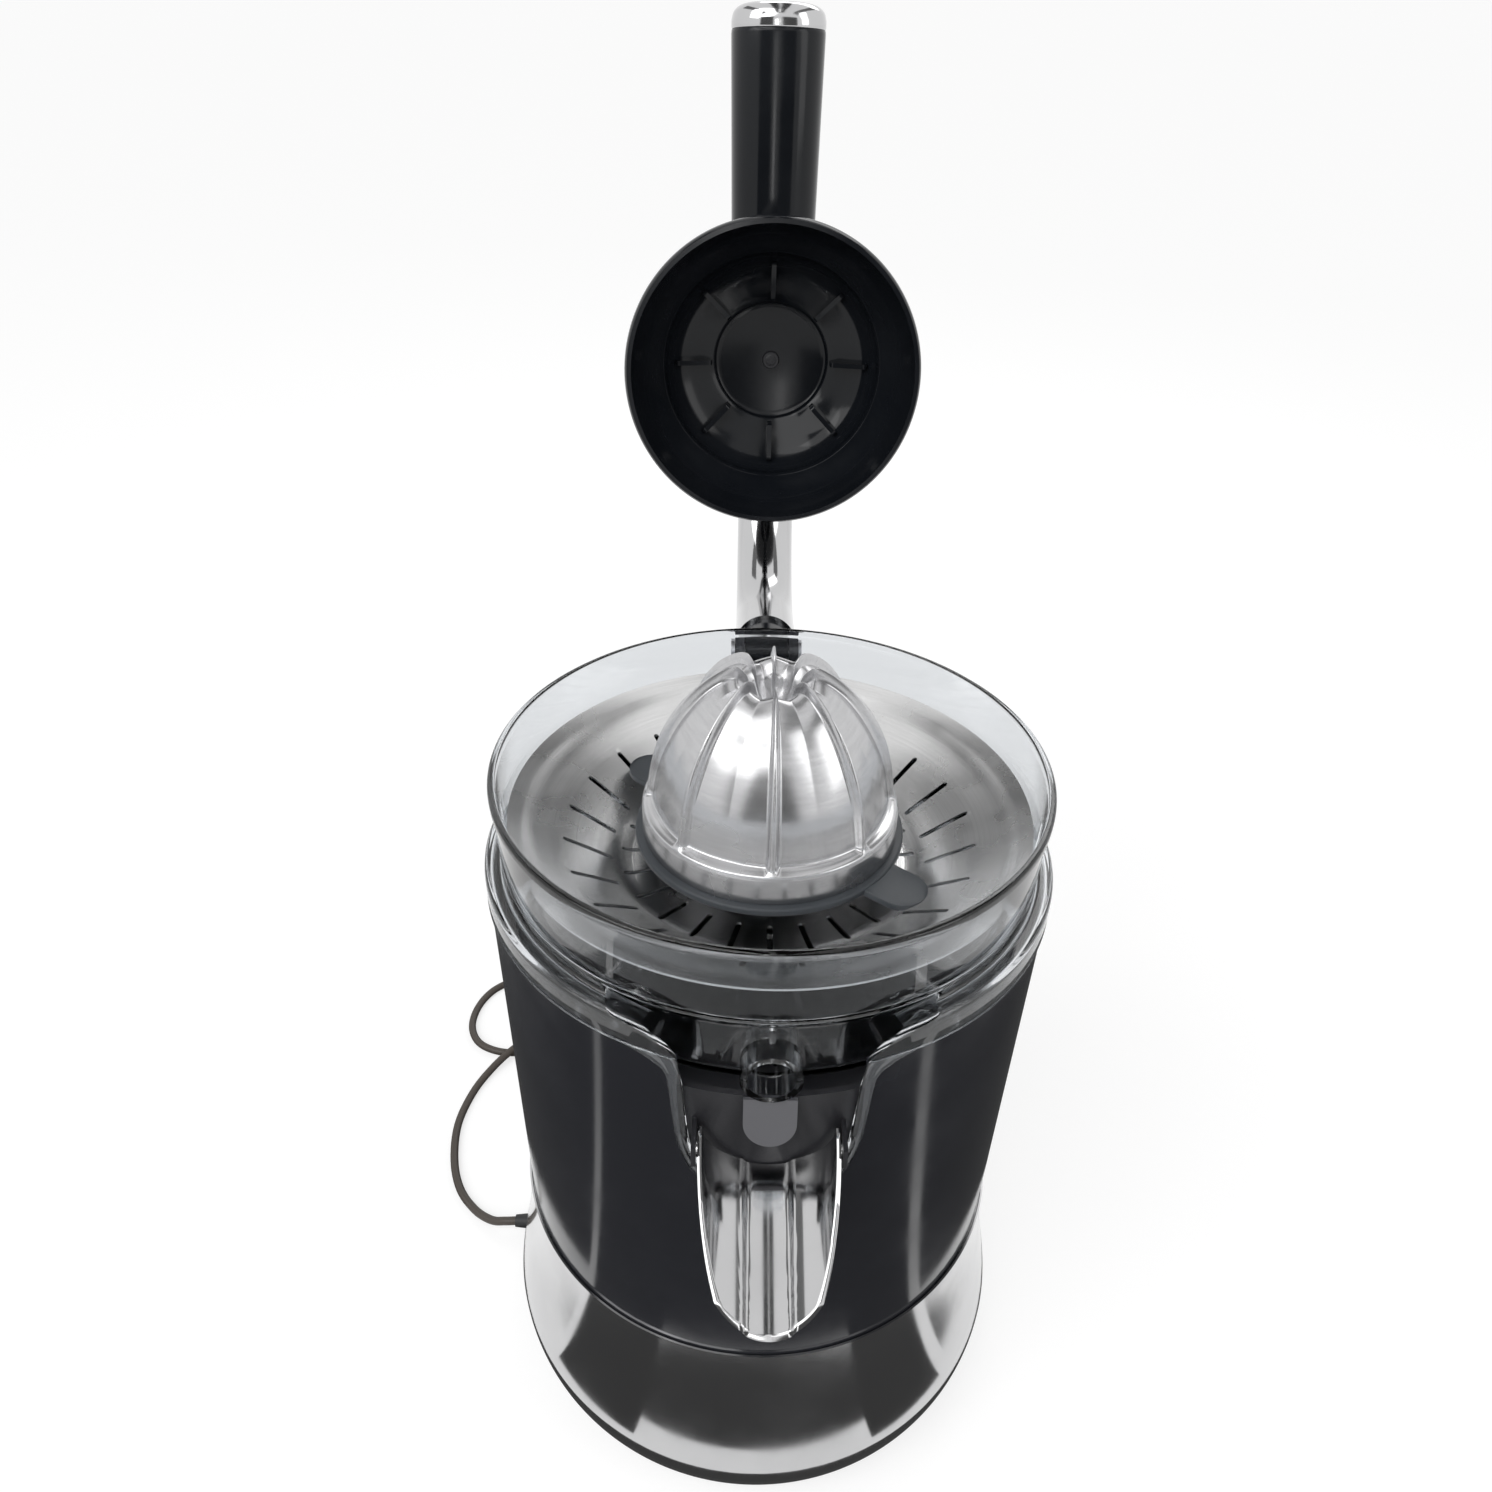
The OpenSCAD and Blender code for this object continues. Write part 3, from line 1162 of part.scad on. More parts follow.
// Screws through the body's rear wall, along +Y
module bracket_screw_places() {
    for (x = [-bracket_screw_x, bracket_screw_x], h = bracket_screw_rise)
        translate([x, bracket_screw_y, bracket_low_z + h]) rotate([-90, 0, 0]) children();
}

module hinge_bracket() color([0.06, 0.06, 0.07]) difference() {
    union() {
        block([-bracket_half_w, body_low_r - body_wall, bracket_low_z],
            [bracket_half_w, bracket_back_y, bracket_top_z]);
        for (s = [0, 1]) mirror([s, 0, 0]) {
            hinge_bar(ear_r, knuckle_half_w + ear_gap, bracket_half_w);
            block([knuckle_half_w + ear_gap, hinge_y - ear_r, bracket_top_z - cut],
                [bracket_half_w, bracket_back_y, hinge_z]);
        }
    }
    turned([[0, 0], [body_low_r + fit - body_low_z * body_draft, 0], [body_top_r + fit, body_top_z],
        [skirt_r + gap, body_top_z],
        [skirt_r + gap, skirt_top_z + gap], [waist_r + skirt_step, skirt_top_z + gap], [rim_r + gap, rim_z],
            [0, rim_z]]);
    hinge_bar(hinge_pin_r + fit, -bracket_half_w - cut, bracket_half_w + cut);
    // Foot of the bracket slopes back to the body
    translate([0, bracket_back_y, bracket_low_z + foot_slope_h]) rotate([foot_slope_angle, 0, 0])
        block([-2 * bracket_half_w, -rim_r, -2 * foot_slope_h], [2 * bracket_half_w, rim_r, 0]);
    bracket_screw_places() cylinder(r = screw_r + fit, h = bracket_screw_l - 2 * screw_head_h);
}

module backing_plate() color([0.6, 0.6, 0.62]) difference() {
    intersection() {
        ring(backing_r, backing_r - plate_t, bracket_low_z + foot_slope_h / 2, backing_h);
        block([-backing_half_w, 0, 0], [backing_half_w, rim_r, rim_z]);
    }
    bracket_screw_places() cylinder(r = screw_r + fit, h = 2 * bracket_deep);
}

module bracket_screws() color([0.6, 0.6, 0.62]) bracket_screw_places() translate([0, 0, -screw_head_h])
    screw_up(screw_r, bracket_screw_l - 2 * screw_head_h, screw_head_r, screw_head_h);

module hinge_pin() color([0.7, 0.71, 0.72]) {
    hinge_bar(hinge_pin_r, -bracket_half_w - pin_over, bracket_half_w + pin_over);
    for (s = [0, 1]) mirror([s, 0, 0]) hinge_bar(hinge_bush_r, bracket_half_w + fit,
        bracket_half_w + pin_head_t);
}

module hinge_bushes() color([0.9, 0.88, 0.8]) raised() for (s = [0, 1]) mirror([s, 0, 0]) difference() {
    hinge_bar(hinge_bush_r - fit / 2, knuckle_half_w - bush_l, knuckle_half_w);
    hinge_bar(hinge_pin_r + fit, knuckle_half_w - bush_l - cut, knuckle_half_w + cut);
}

module arm_knuckle() color([0.08, 0.08, 0.09]) raised() difference() {
    union() {
        hinge_bar(knuckle_r, -knuckle_half_w, knuckle_half_w);
        // Plug in the tube, flattened where it passes between the ears
        translate([0, hinge_y, hinge_z + knuckle_r + gap]) cylinder(r = arm_r - arm_wall - fit,
            h = plug_depth);
        intersection() {
            translate([0, hinge_y, hinge_z]) cylinder(r = arm_r - arm_wall - fit, h = knuckle_r + plug_depth);
            block([-knuckle_half_w, 0, 0], [knuckle_half_w, 2 * rim_r, 2 * rim_z]);
        }
    }
    hinge_bar(hinge_pin_r + gap, -rim_r, rim_r);
    for (s = [0, 1]) mirror([s, 0, 0]) hinge_bar(hinge_bush_r, knuckle_half_w - bush_l, knuckle_half_w + cut);
}

// The arm: up from the knuckle, round a bend and forward into the grip
module arm_bar(r, extra) {
    bend_z = arm_z - arm_bend_r;
    translate([0, hinge_y, hinge_z + knuckle_r + gap - extra])
        cylinder(r = r, h = bend_z - hinge_z - knuckle_r - gap + extra);
    translate([0, hinge_y - arm_bend_r, bend_z]) rotate([90, 0, 90]) rotate_extrude(angle = 90)
        translate([arm_bend_r, 0]) circle(r = r, $fn = 64);
    translate([0, hinge_y - arm_bend_r, arm_z]) rotate([90, 0, 0])
        cylinder(r = r, h = hinge_y - arm_bend_r - arm_front_y + extra);
}
module arm_tube() color([0.8, 0.81, 0.82]) raised() difference() {
    arm_bar(arm_r, 0);
    arm_bar(arm_r - arm_wall, cut);
}

// Flattened round section of the grip, grown along the arm
grip_shares = [[0, 0.86, 0], [0.015, 0.95, 0], [0.04, 1, 0], [0.3, 1, 0.3], [0.65, 1, 0.65], [1, 1, 1]];
cap_shares = [[0, 1], [0.4, 1], [0.68, 0.95], [0.87, 0.84], [0.97, 0.68], [1, 0.5]];
grip_sides = 48;
module loft(rings_at) {
    n = len(rings_at);
    points = [for (q = rings_at, k = [0:grip_sides - 1]) let (a = 360 * k / grip_sides)
        [q[1] * sign(cos(a)) * pow(abs(cos(a)), 0.8), q[0], arm_z + q[2] * sin(a)]];
    sides = [for (i = [0:n - 2], k = [0:grip_sides - 1])
        let (a = i * grip_sides + k, b = i * grip_sides + (k + 1) % grip_sides)
        each [[a, a + grip_sides, b], [b, a + grip_sides, b + grip_sides]]];
    polyhedron(points, concat(sides, [[for (k = [0:grip_sides - 1]) k]],
        [[for (k = [grip_sides - 1:-1:0]) (n - 1) * grip_sides + k]]), convexity = 10);
}
module handle_grip() color([0.08, 0.08, 0.09]) raised() difference() {
    loft([for (q = grip_shares) let (w = (grip_root_half_w + (grip_half_w - grip_root_half_w) * q[2]) * q[1])
        [grip_rear_y - (grip_l - cap_l) * q[0], w, w * grip_half_h_share]]);
    translate([0, grip_rear_y + cut, arm_z]) rotate([90, 0, 0]) cylinder(r = arm_r + fit,
        h = grip_rear_y - arm_front_y + cut + gap);
}
module handle_cap() color([0.8, 0.81, 0.82]) raised()
    loft([for (q = cap_shares) [grip_rear_y - grip_l + cap_l - cap_l * q[0], grip_half_w * q[1],
        grip_half_w * q[1] * grip_half_h_share]]);

module dome_neck() color([0.08, 0.08, 0.09]) raised() difference() {
    disc(neck_r, dome_top_z, arm_z - dome_top_z);
    translate([0, neck_r + cut, arm_z]) rotate([90, 0, 0]) cylinder(r = arm_r + fit, h = 2 * (neck_r + cut));
    disc(screw_r + fit, dome_top_z - cut, dome_screw_l);
}

module press_dome() color([0.04, 0.04, 0.05]) raised() difference() {
    union() {
        turned(concat([for (i = [0:len(dome_out_r_shares) - 1]) [dome_r * dome_out_r_shares[i],
            dome_mouth_z + dome_h * dome_out_z_shares[i]]],
            [for (i = [0:len(dome_in_r_shares) - 1]) [dome_r * dome_in_r_shares[i],
                dome_mouth_z + dome_h * dome_in_z_shares[i]]]));
        intersection() {
            around(dome_rib_count) block([dome_r * dome_rib_in_share, -dome_rib_w / 2,
                dome_mouth_z + dome_h * dome_in_z_shares[4] - dome_rib_drop],
                [dome_r * dome_rib_out_share, dome_rib_w / 2, dome_top_z]);
            disc(dome_r * dome_rib_out_share, dome_mouth_z, dome_h * dome_out_z_shares[4]);
        }
    }
    disc(screw_r + fit, dome_mouth_z, 2 * dome_h);
}

module dome_screw() color([0.6, 0.6, 0.62]) raised()
    translate([0, 0, dome_mouth_z + dome_h * dome_in_z_shares[0] - screw_head_h])
    screw_up(screw_r, screw_head_h + dome_h * (1 - dome_in_z_shares[0]) + dome_screw_l - cut - gap,
        screw_head_r, screw_head_h);

// A hole along the cord's way out of the base, and pieces along it
module cord_axis(x0, r0, x1, r1) { translate([x1, cord_way[1], cord_way[2]]) rotate([0, 90, 0])
    cylinder(r1 = r1, r2 = r0, h = x0 - x1); }
module cord_bore(r) { cord_axis(relief_in_x + clamp_gap + cut, r, -base_belly_r - cut, r); }
module cord_relief() color([0.1, 0.09, 0.09]) {
    cord_axis(relief_in_x, relief_root_r, relief_out_x, relief_root_r);
    cord_axis(relief_out_x, relief_root_r, cord_points[0][0], relief_tip_r);
}
module clamp_block(extra) {
    block([clamp_x - extra, cord_way[1] - clamp_w / 2 - extra, ledge_z],
        [clamp_x + clamp_l + extra, cord_way[1] + clamp_w / 2 + extra, clamp_top_z + extra]);
}
module cord_clamp() color([0.2, 0.2, 0.2]) difference() {
    clamp_block(0);
    cord_axis(clamp_x + clamp_l + cut, cord_r + fit, clamp_x - cut, cord_r + fit);
}
module terminal_block() color([0.85, 0.85, 0.8]) block([terminal_x, terminal_y, chassis_z + chassis_t],
    [terminal_x + terminal_l, terminal_y + terminal_w, chassis_z + chassis_t + terminal_h]);

module power_cord() color([0.16, 0.13, 0.11]) {
    sweep_tube(smooth(cord_points, 3), cord_r, 8);
    sweep_tube(smooth(tail_points, 3), cord_r, 8);
}

// Coil: spirals in, climbs a layer in half a turn, and spirals out on top
coil_steps = 24;
coil_total = 2 * coil_turns + 0.5;
function coil_layer(t) = t < coil_turns ? 0 : t > coil_turns + 0.5 ? 1 : (t - coil_turns) * 2;
function coil_radius(t) = coil_out_r - coil_pitch * (t < coil_turns ? t : t > coil_turns + 0.5 ?
    coil_total - t : coil_turns);
function coil_point(t) = coil_centre + [coil_radius(t) * cos(360 * t - 90),
    coil_radius(t) * sin(360 * t - 90),
    coil_low_z + coil_pitch * coil_layer(t)];
coil_path = concat([coil_point(0) - [cord_d, 0, 0]],
    [for (i = [0:coil_total * coil_steps]) coil_point(i / coil_steps)],
    [coil_point(coil_total) + [cord_d, 0, 0]]);
module cord_coil() color([0.16, 0.13, 0.11]) sweep_tube(coil_path, cord_r, 6);
function length_of(p) = len(p) < 2 ? 0 : sum([for (i = [1:len(p) - 1]) norm(p[i] - p[i - 1])]);
function sum(v, i = 0) = i >= len(v) ? 0 : v[i] + sum(v, i + 1);
coil_gap = min([for (i = [0:len(coil_path) - 1],
    j = [i + coil_steps / 2:1:len(coil_path) - 1]) norm(coil_path[i] - coil_path[j])]) - cord_d;
echo(cord_length = length_of(smooth(cord_points, 3)) + length_of(coil_path) + length_of(smooth(tail_points,
    3)), coil_least_gap = coil_gap);

module mains_plug() color([0.1, 0.1, 0.1]) translate([plug_at[0], plug_at[1], plug_at[2] - plug_h / 2]) {
    linear_extrude(plug_h) polygon([for (q = plug_shares) [plug_l * q[0], plug_w * q[1]]]);
}
plug_shares = [[0, -0.16], [0.3, -0.2], [0.62, -0.42], [0.8, -0.5], [1, -0.5], [1, 0.5], [0.8, 0.5],
    [0.62, 0.42], [0.3, 0.2], [0, 0.16]];
module plug_pins() color([0.75, 0.73, 0.65]) for (s = [-1, 1])
    translate([plug_at[0] + plug_l, plug_at[1] + s * pin_half_gap, plug_at[2]])
    rotate([0, 90, 0]) cylinder(r = pin_r, h = pin_l);

module cord_tie() color([0.08, 0.08, 0.08]) translate(coil_centre) rotate(180) difference() {
    block([tie_in_r - tie_t, -tie_w / 2, 0], [coil_out_r + cord_r + gap + tie_t, tie_w / 2,
        tie_top_z + tie_t]);
    block([tie_in_r, -tie_w, tie_t], [coil_out_r + cord_r + gap, tie_w, tie_top_z]);
}

base_shell();
bottom_cover();
rubber_feet();
base_screws();
motor_chassis();
motor_lower_bracket();
motor_upper_bracket();
motor_bearings();
stator_core();
stator_windings();
rotor_core();
rotor_shaft();
cooling_fan();
gearbox_housing();
gearbox_bridge();
gearbox_cover();
gearbox_screws();
idler_gear();
idler_pin();
output_gear();
drive_shaft();
lower_shaft_bush();
upper_shaft_bush();
shaft_seal();
thrust_cup();
return_spring();
micro_switch();
switch_plunger();
inner_leads();
body_shell();
case_screws();
top_deck();
spout_housing();
spout();
drip_flap();
juice_bowl();
strainer();
reamer_cone();
reamer_hub();
pulp_stirrer();
hinge_bracket();
backing_plate();
bracket_screws();
hinge_pin();
hinge_bushes();
arm_tube();
arm_knuckle();
handle_grip();
handle_cap();
dome_neck();
press_dome();
dome_screw();
cord_relief();
cord_clamp();
terminal_block();
power_cord();
cord_coil();
mains_plug();
plug_pins();
cord_tie();
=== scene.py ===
"""Electric citrus juicer: the camera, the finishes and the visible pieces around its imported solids."""

import json
import logging
import math
from dataclasses import dataclass, field
from enum import Enum
from typing import Callable, Sequence

import bmesh
import bpy
from mathutils import Matrix, Vector


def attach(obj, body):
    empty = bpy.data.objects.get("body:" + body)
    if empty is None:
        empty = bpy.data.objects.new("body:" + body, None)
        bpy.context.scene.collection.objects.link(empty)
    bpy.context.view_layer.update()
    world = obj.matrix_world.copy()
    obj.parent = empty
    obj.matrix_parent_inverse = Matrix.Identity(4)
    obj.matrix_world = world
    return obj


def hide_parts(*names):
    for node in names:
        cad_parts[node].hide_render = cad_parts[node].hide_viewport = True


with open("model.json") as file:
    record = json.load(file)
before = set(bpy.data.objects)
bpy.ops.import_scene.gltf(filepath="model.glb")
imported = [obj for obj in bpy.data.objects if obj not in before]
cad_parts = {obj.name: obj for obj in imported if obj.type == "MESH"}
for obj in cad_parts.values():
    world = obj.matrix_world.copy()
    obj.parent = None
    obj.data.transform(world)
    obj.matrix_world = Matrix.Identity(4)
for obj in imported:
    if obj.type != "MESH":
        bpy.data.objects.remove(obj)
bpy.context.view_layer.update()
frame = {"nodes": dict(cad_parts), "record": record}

log = logging.getLogger("juicer")
# Sizes are in mm, but those of the camera and the lights are in m. A pair is two coordinates of a section,
# or two shares of its width and height; a corner is such a pair and the fillet there.
MM = 0.001
WELD_MM = 1e-4
ON_AXIS_MM = 1e-6
NEARLY_STRAIGHT = math.radians(178)
FILLET_SHARE = 0.49
SHARP_DEG = 32.0
Pair = tuple[float, float]
Corner = tuple[float, float, float]
Point = tuple[float, float, float]
Line = tuple[Pair, ...]
Corners = tuple[Corner, ...]
Socket = bpy.types.NodeSocket
Tree = bpy.types.NodeTree
Piece = bpy.types.Object
Material = bpy.types.Material
Mesh = bmesh.types.BMesh


class Body(Enum):
    """The moving bodies of the juicer that a piece rides on."""

    HOUSING = "housing"
    REAMER = "reamer"
    SPOUT = "spout_body"
    ARM = "arm"


class Carving(Enum):
    """What a tool does to a piece."""

    JOIN = "UNION"
    CUT = "DIFFERENCE"


def feed(tree: Tree, source: Socket | float, target: Socket) -> None:
    """Links a socket to an input, or writes a number on it.

    Args:
        tree: The node tree.
        source: A socket or a number.
        target: The input that takes it.
    """
    if isinstance(source, Socket):
        tree.links.new(source, target)
    else:
        target.default_value = source


def maths(tree: Tree, operation: str, *values: Socket | float) -> Socket:
    """Adds a Math node.

    Args:
        tree: The node tree.
        operation: The operation's name.
        *values: Sockets or numbers for its inputs.

    Returns:
        Its output.
    """
    made = tree.nodes.new("ShaderNodeMath")
    made.operation = operation
    for value, target in zip(values, made.inputs):
        feed(tree, value, target)
    return made.outputs[0]


def set_inputs(node: bpy.types.Node, values: dict[str, object]) -> None:
    """Sets a node's inputs by their names, with _ for a space."""
    for key, value in values.items():
        node.inputs[key.replace("_", " ")].default_value = value


def map_range(tree: Tree, value: Socket, **ends: float) -> Socket:
    """Adds a Map Range node.

    Args:
        tree: The node tree.
        value: What it maps.
        **ends: Those of its four ends that change, with _ for a space.

    Returns:
        Its output.
    """
    made = tree.nodes.new("ShaderNodeMapRange")
    tree.links.new(value, made.inputs["Value"])
    set_inputs(made, ends)
    return made.outputs["Result"]


class GroupBench:
    """Builds one shader node group with named inputs and outputs."""

    def __init__(self, name: str) -> None:
        """Starts an empty group.

        Args:
            name: The group's name.
        """
        self.tree = bpy.data.node_groups.new(name, "ShaderNodeTree")
        self.inlet = self.tree.nodes.new("NodeGroupInput")
        self.outlet = self.tree.nodes.new("NodeGroupOutput")

    def value_in(self, name: str, default: float) -> None:
        """Adds a number input with its usual value."""
        socket = self.tree.interface.new_socket(name, in_out="INPUT", socket_type="NodeSocketFloat")
        socket.default_value = default

    def value_out(self, name: str, source: Socket) -> None:
        """Adds a number output and feeds it."""
        self.tree.interface.new_socket(name, in_out="OUTPUT", socket_type="NodeSocketFloat")
        self.tree.links.new(source, self.outlet.inputs[name])

    def node(self, kind: str) -> bpy.types.Node:
        """Adds a node and returns it."""
        return self.tree.nodes.new(kind)

    def feed(self, source: Socket | float, target: Socket) -> None:
        """Links a socket to an input, or writes a number on it."""
        feed(self.tree, source, target)

    def maths(self, operation: str, *values: Socket | float) -> Socket:
        """Adds a Math node and returns its output."""
        return maths(self.tree, operation, *values)

    def noise(self, vector: Socket, scale: Socket | float, detail: float,
              roughness: float = 0.55) -> Socket:
        """Adds a Noise Texture.

        Args:
            vector: The coordinates that it reads.
            scale: Its scale.
            detail: Its number of octaves.
            roughness: How strong the fine octaves are.

        Returns:
            The noise value, about 0 to 1.
        """
        made = self.node("ShaderNodeTexNoise")
        self.feed(vector, made.inputs["Vector"])
        self.feed(scale, made.inputs["Scale"])
        set_inputs(made, {"Detail": detail, "Roughness": roughness})
        return made.outputs["Fac"]

    def spread(self, value: Socket, low: float, high: float) -> Socket:
        """Stretches a value so that low becomes 0 and high becomes 1."""
        return map_range(self.tree, value, From_Min=low, From_Max=high)


def moulded_grain_group() -> Tree:
    """Fine grain of moulded plastic, rubber or cast metal.

    Returns:
        The group, with outputs Height and Tone.
    """
    bench = GroupBench("moulded_grain")
    bench.value_in("Grain per m", 1500.0)
    place = bench.node("ShaderNodeTexCoord").outputs["Object"]
    fine = bench.noise(place, bench.inlet.outputs["Grain per m"], detail=3.0)
    broad = bench.noise(place, scale=18.0, detail=4.0)
    bench.value_out("Height", fine)
    mixed = bench.maths("ADD", bench.maths("MULTIPLY", fine, 0.35), broad)
    bench.value_out("Tone", bench.spread(mixed, low=0.45, high=0.95))
    return bench.tree


def handling_marks_group() -> Tree:
    """Smudges and wiping marks on polished surfaces.

    Returns:
        The group, with outputs Smudge and Scuff.
    """
    bench = GroupBench("handling_marks")
    bench.value_in("Marks per m", 22.0)
    place = bench.node("ShaderNodeTexCoord").outputs["Object"]
    broad = bench.noise(place, bench.inlet.outputs["Marks per m"], detail=5.0, roughness=0.6)
    squeeze = bench.node("ShaderNodeMapping")
    set_inputs(squeeze, {"Rotation": (0.3, 0.5, 0.2), "Scale": (1.0, 14.0, 5.0)})
    bench.feed(place, squeeze.inputs["Vector"])
    hair = bench.noise(squeeze.outputs["Vector"], scale=60.0, detail=6.0, roughness=0.7)
    bench.value_out("Smudge", bench.spread(broad, low=0.42, high=0.72))
    bench.value_out("Scuff", bench.spread(hair, low=0.6, high=0.78))
    return bench.tree


def turned_lines_group() -> Tree:
    """Fine lines round the upright axis, as brushing on a lathe leaves.

    Returns:
        The group, with outputs Lines and Cloud.
    """
    bench = GroupBench("turned_lines")
    bench.value_in("Lines per m", 2600.0)
    bench.value_in("Sweep", 1.2)
    place = bench.node("ShaderNodeTexCoord").outputs["Object"]
    parts = bench.node("ShaderNodeSeparateXYZ")
    bench.feed(place, parts.inputs[0])
    x, y, z = parts.outputs
    squares = [bench.maths("MULTIPLY", side, side) for side in (x, y)]
    flat = bench.maths("SQRT", bench.maths("ADD", *squares))
    turn = bench.maths("ARCTAN2", y, x)
    along = bench.maths("MULTIPLY", bench.maths("ABSOLUTE", turn), bench.inlet.outputs["Sweep"])
    joined = bench.node("ShaderNodeCombineXYZ")
    bench.feed(bench.maths("MULTIPLY", flat, bench.inlet.outputs["Lines per m"]), joined.inputs[0])
    bench.feed(along, joined.inputs[1])
    bench.feed(bench.maths("MULTIPLY", z, bench.inlet.outputs["Lines per m"]), joined.inputs[2])
    lines = bench.noise(joined.outputs[0], scale=1.0, detail=4.0, roughness=0.6)
    cloud = bench.noise(place, scale=35.0, detail=4.0)
    bench.value_out("Lines", bench.spread(lines, low=0.25, high=0.75))
    bench.value_out("Cloud", bench.spread(cloud, low=0.35, high=0.7))
    return bench.tree


@dataclass
class ShaderGroups:
    """The shared groups, each built once."""

    grain: Tree = field(default_factory=moulded_grain_group)
    marks: Tree = field(default_factory=handling_marks_group)
    turned: Tree = field(default_factory=turned_lines_group)


class ShaderBench:
    """Builds one material around a Principled BSDF."""

    def __init__(self, name: str) -> None:
        """Starts a material.

        Args:
            name: The finish's name.
        """
        self.material = bpy.data.materials.new(name)
        self.material.use_nodes = True
        self.tree = self.material.node_tree
        self.tree.nodes.clear()
        self.shader = self.tree.nodes.new("ShaderNodeBsdfPrincipled")
        out = self.tree.nodes.new("ShaderNodeOutputMaterial")
        self.tree.links.new(self.shader.outputs[0], out.inputs["Surface"])

    def plain(self, **values: object) -> None:
        """Sets values on the shader's own sockets, with _ for a space in their names."""
        set_inputs(self.shader, values)

    def group(self, tree: Tree, **values: float) -> bpy.types.Node:
        """Places a shared group.

        Args:
            tree: The group.
            **values: Its inputs' names, with _ for a space, and their values.

        Returns:
            The group node.
        """
        made = self.tree.nodes.new("ShaderNodeGroup")
        made.node_tree = tree
        set_inputs(made, values)
        return made

    def ramp(self, value: Socket, low: float, high: float) -> None:
        """Feeds the roughness from a value from 0 to 1, so that it runs from low to high."""
        made = map_range(self.tree, value, To_Min=low, To_Max=high)
        self.tree.links.new(made, self.shader.inputs["Roughness"])

    def tint(self, value: Socket, low: Point, high: Point) -> None:
        """Feeds the base colour from a value that runs between two colours.

        Args:
            value: A value from 0 to 1.
            low: The colour where it is 0.
            high: The colour where it is 1.
        """
        made = self.tree.nodes.new("ShaderNodeMix")
        made.data_type = "RGBA"
        self.tree.links.new(value, made.inputs["Factor"])
        set_inputs(made, {"A": (*low, 1.0), "B": (*high, 1.0)})
        self.tree.links.new(made.outputs["Result"], self.shader.inputs["Base Color"])

    def bump(self, height: Socket, strength: float, depth_mm: float) -> None:
        """Feeds the normal from a height.

        Args:
            height: The height, from 0 to 1.
            strength: The Bump node's strength.
            depth_mm: What a height of 1 stands for.
        """
        made = self.tree.nodes.new("ShaderNodeBump")
        set_inputs(made, {"Strength": strength, "Distance": depth_mm * MM})
        self.tree.links.new(height, made.inputs["Height"])
        self.tree.links.new(made.outputs["Normal"], self.shader.inputs["Normal"])


def toned(colour: Point, gain: float, lift: float = 0.0) -> Point:
    """A colour made lighter or darker by a factor and an offset."""
    return tuple(min(1.0, c * gain + lift) for c in colour)


@dataclass(frozen=True)
class Finish:
    """A finish; each kind of surface sets its own shader up."""

    name: str

    def make(self, groups: ShaderGroups) -> Material:
        """Builds the material.

        Args:
            groups: The shared groups.

        Returns:
            The material.
        """
        bench = ShaderBench(self.name)
        self.set_up(bench, groups)
        return bench.material

    def set_up(self, bench: ShaderBench, groups: ShaderGroups) -> None:
        """Sets the shader up."""
        raise NotImplementedError


@dataclass(frozen=True)
class PolishedChrome(Finish):
    """Mirror-bright plating with faint wiping marks."""

    tone: float = 0.56
    smudged: float = 0.94
    marks_per_m: float = 26.0
    roughness: Pair = (0.09, 0.16)

    def set_up(self, bench: ShaderBench, groups: ShaderGroups) -> None:
        """Sets the shader up.

        Args:
            bench: The material's bench.
            groups: The shared groups.
        """
        bench.plain(Metallic=1.0, Specular_IOR_Level=0.5)
        smudge = bench.group(groups.marks, Marks_per_m=self.marks_per_m).outputs["Smudge"]
        bench.tint(smudge, tuple(self.tone * c for c in (1.0, 1.0, 1.01)),
                   tuple(self.tone * c for c in (self.smudged, self.smudged, self.smudged + 0.01)))
        bench.ramp(smudge, *self.roughness)


@dataclass(frozen=True)
class GlossPlastic(Finish):
    """Polished opaque plastic or lacquer."""

    colour: Point
    roughness: float = 0.12
    gleam: float = 0.3
    roughness_span: float = 0.1
    marks_per_m: float = 18.0
    grain_per_m: float = 260.0
    depth_mm: float = 0.05

    def set_up(self, bench: ShaderBench, groups: ShaderGroups) -> None:
        """Sets the shader up.

        Args:
            bench: The material's bench.
            groups: The shared groups.
        """
        bench.plain(Specular_IOR_Level=self.gleam)
        smudge = bench.group(groups.marks, Marks_per_m=self.marks_per_m).outputs["Smudge"]
        bench.tint(smudge, self.colour, toned(self.colour, gain=1.18, lift=0.004))
        bench.ramp(smudge, self.roughness, self.roughness + self.roughness_span)
        grain = bench.group(groups.grain, Grain_per_m=self.grain_per_m)
        bench.bump(grain.outputs["Height"], strength=0.12, depth_mm=self.depth_mm)


@dataclass(frozen=True)
class MouldedPlastic(Finish):
    """Matte moulded plastic, rubber or vinyl with a fine grain."""

    colour: Point
    roughness: float = 0.55
    grain_per_m: float = 1500.0
    depth_mm: float = 0.05
    roughness_span: float = 0.08

    def set_up(self, bench: ShaderBench, groups: ShaderGroups) -> None:
        """Sets the shader up.

        Args:
            bench: The material's bench.
            groups: The shared groups.
        """
        bench.plain(Specular_IOR_Level=0.4)
        grain = bench.group(groups.grain, Grain_per_m=self.grain_per_m)
        tone = grain.outputs["Tone"]
        bench.tint(tone, self.colour, toned(self.colour, gain=1.25, lift=0.006))
        bench.ramp(tone, self.roughness - self.roughness_span, self.roughness + self.roughness_span)
        bench.bump(grain.outputs["Height"], strength=0.5, depth_mm=self.depth_mm)


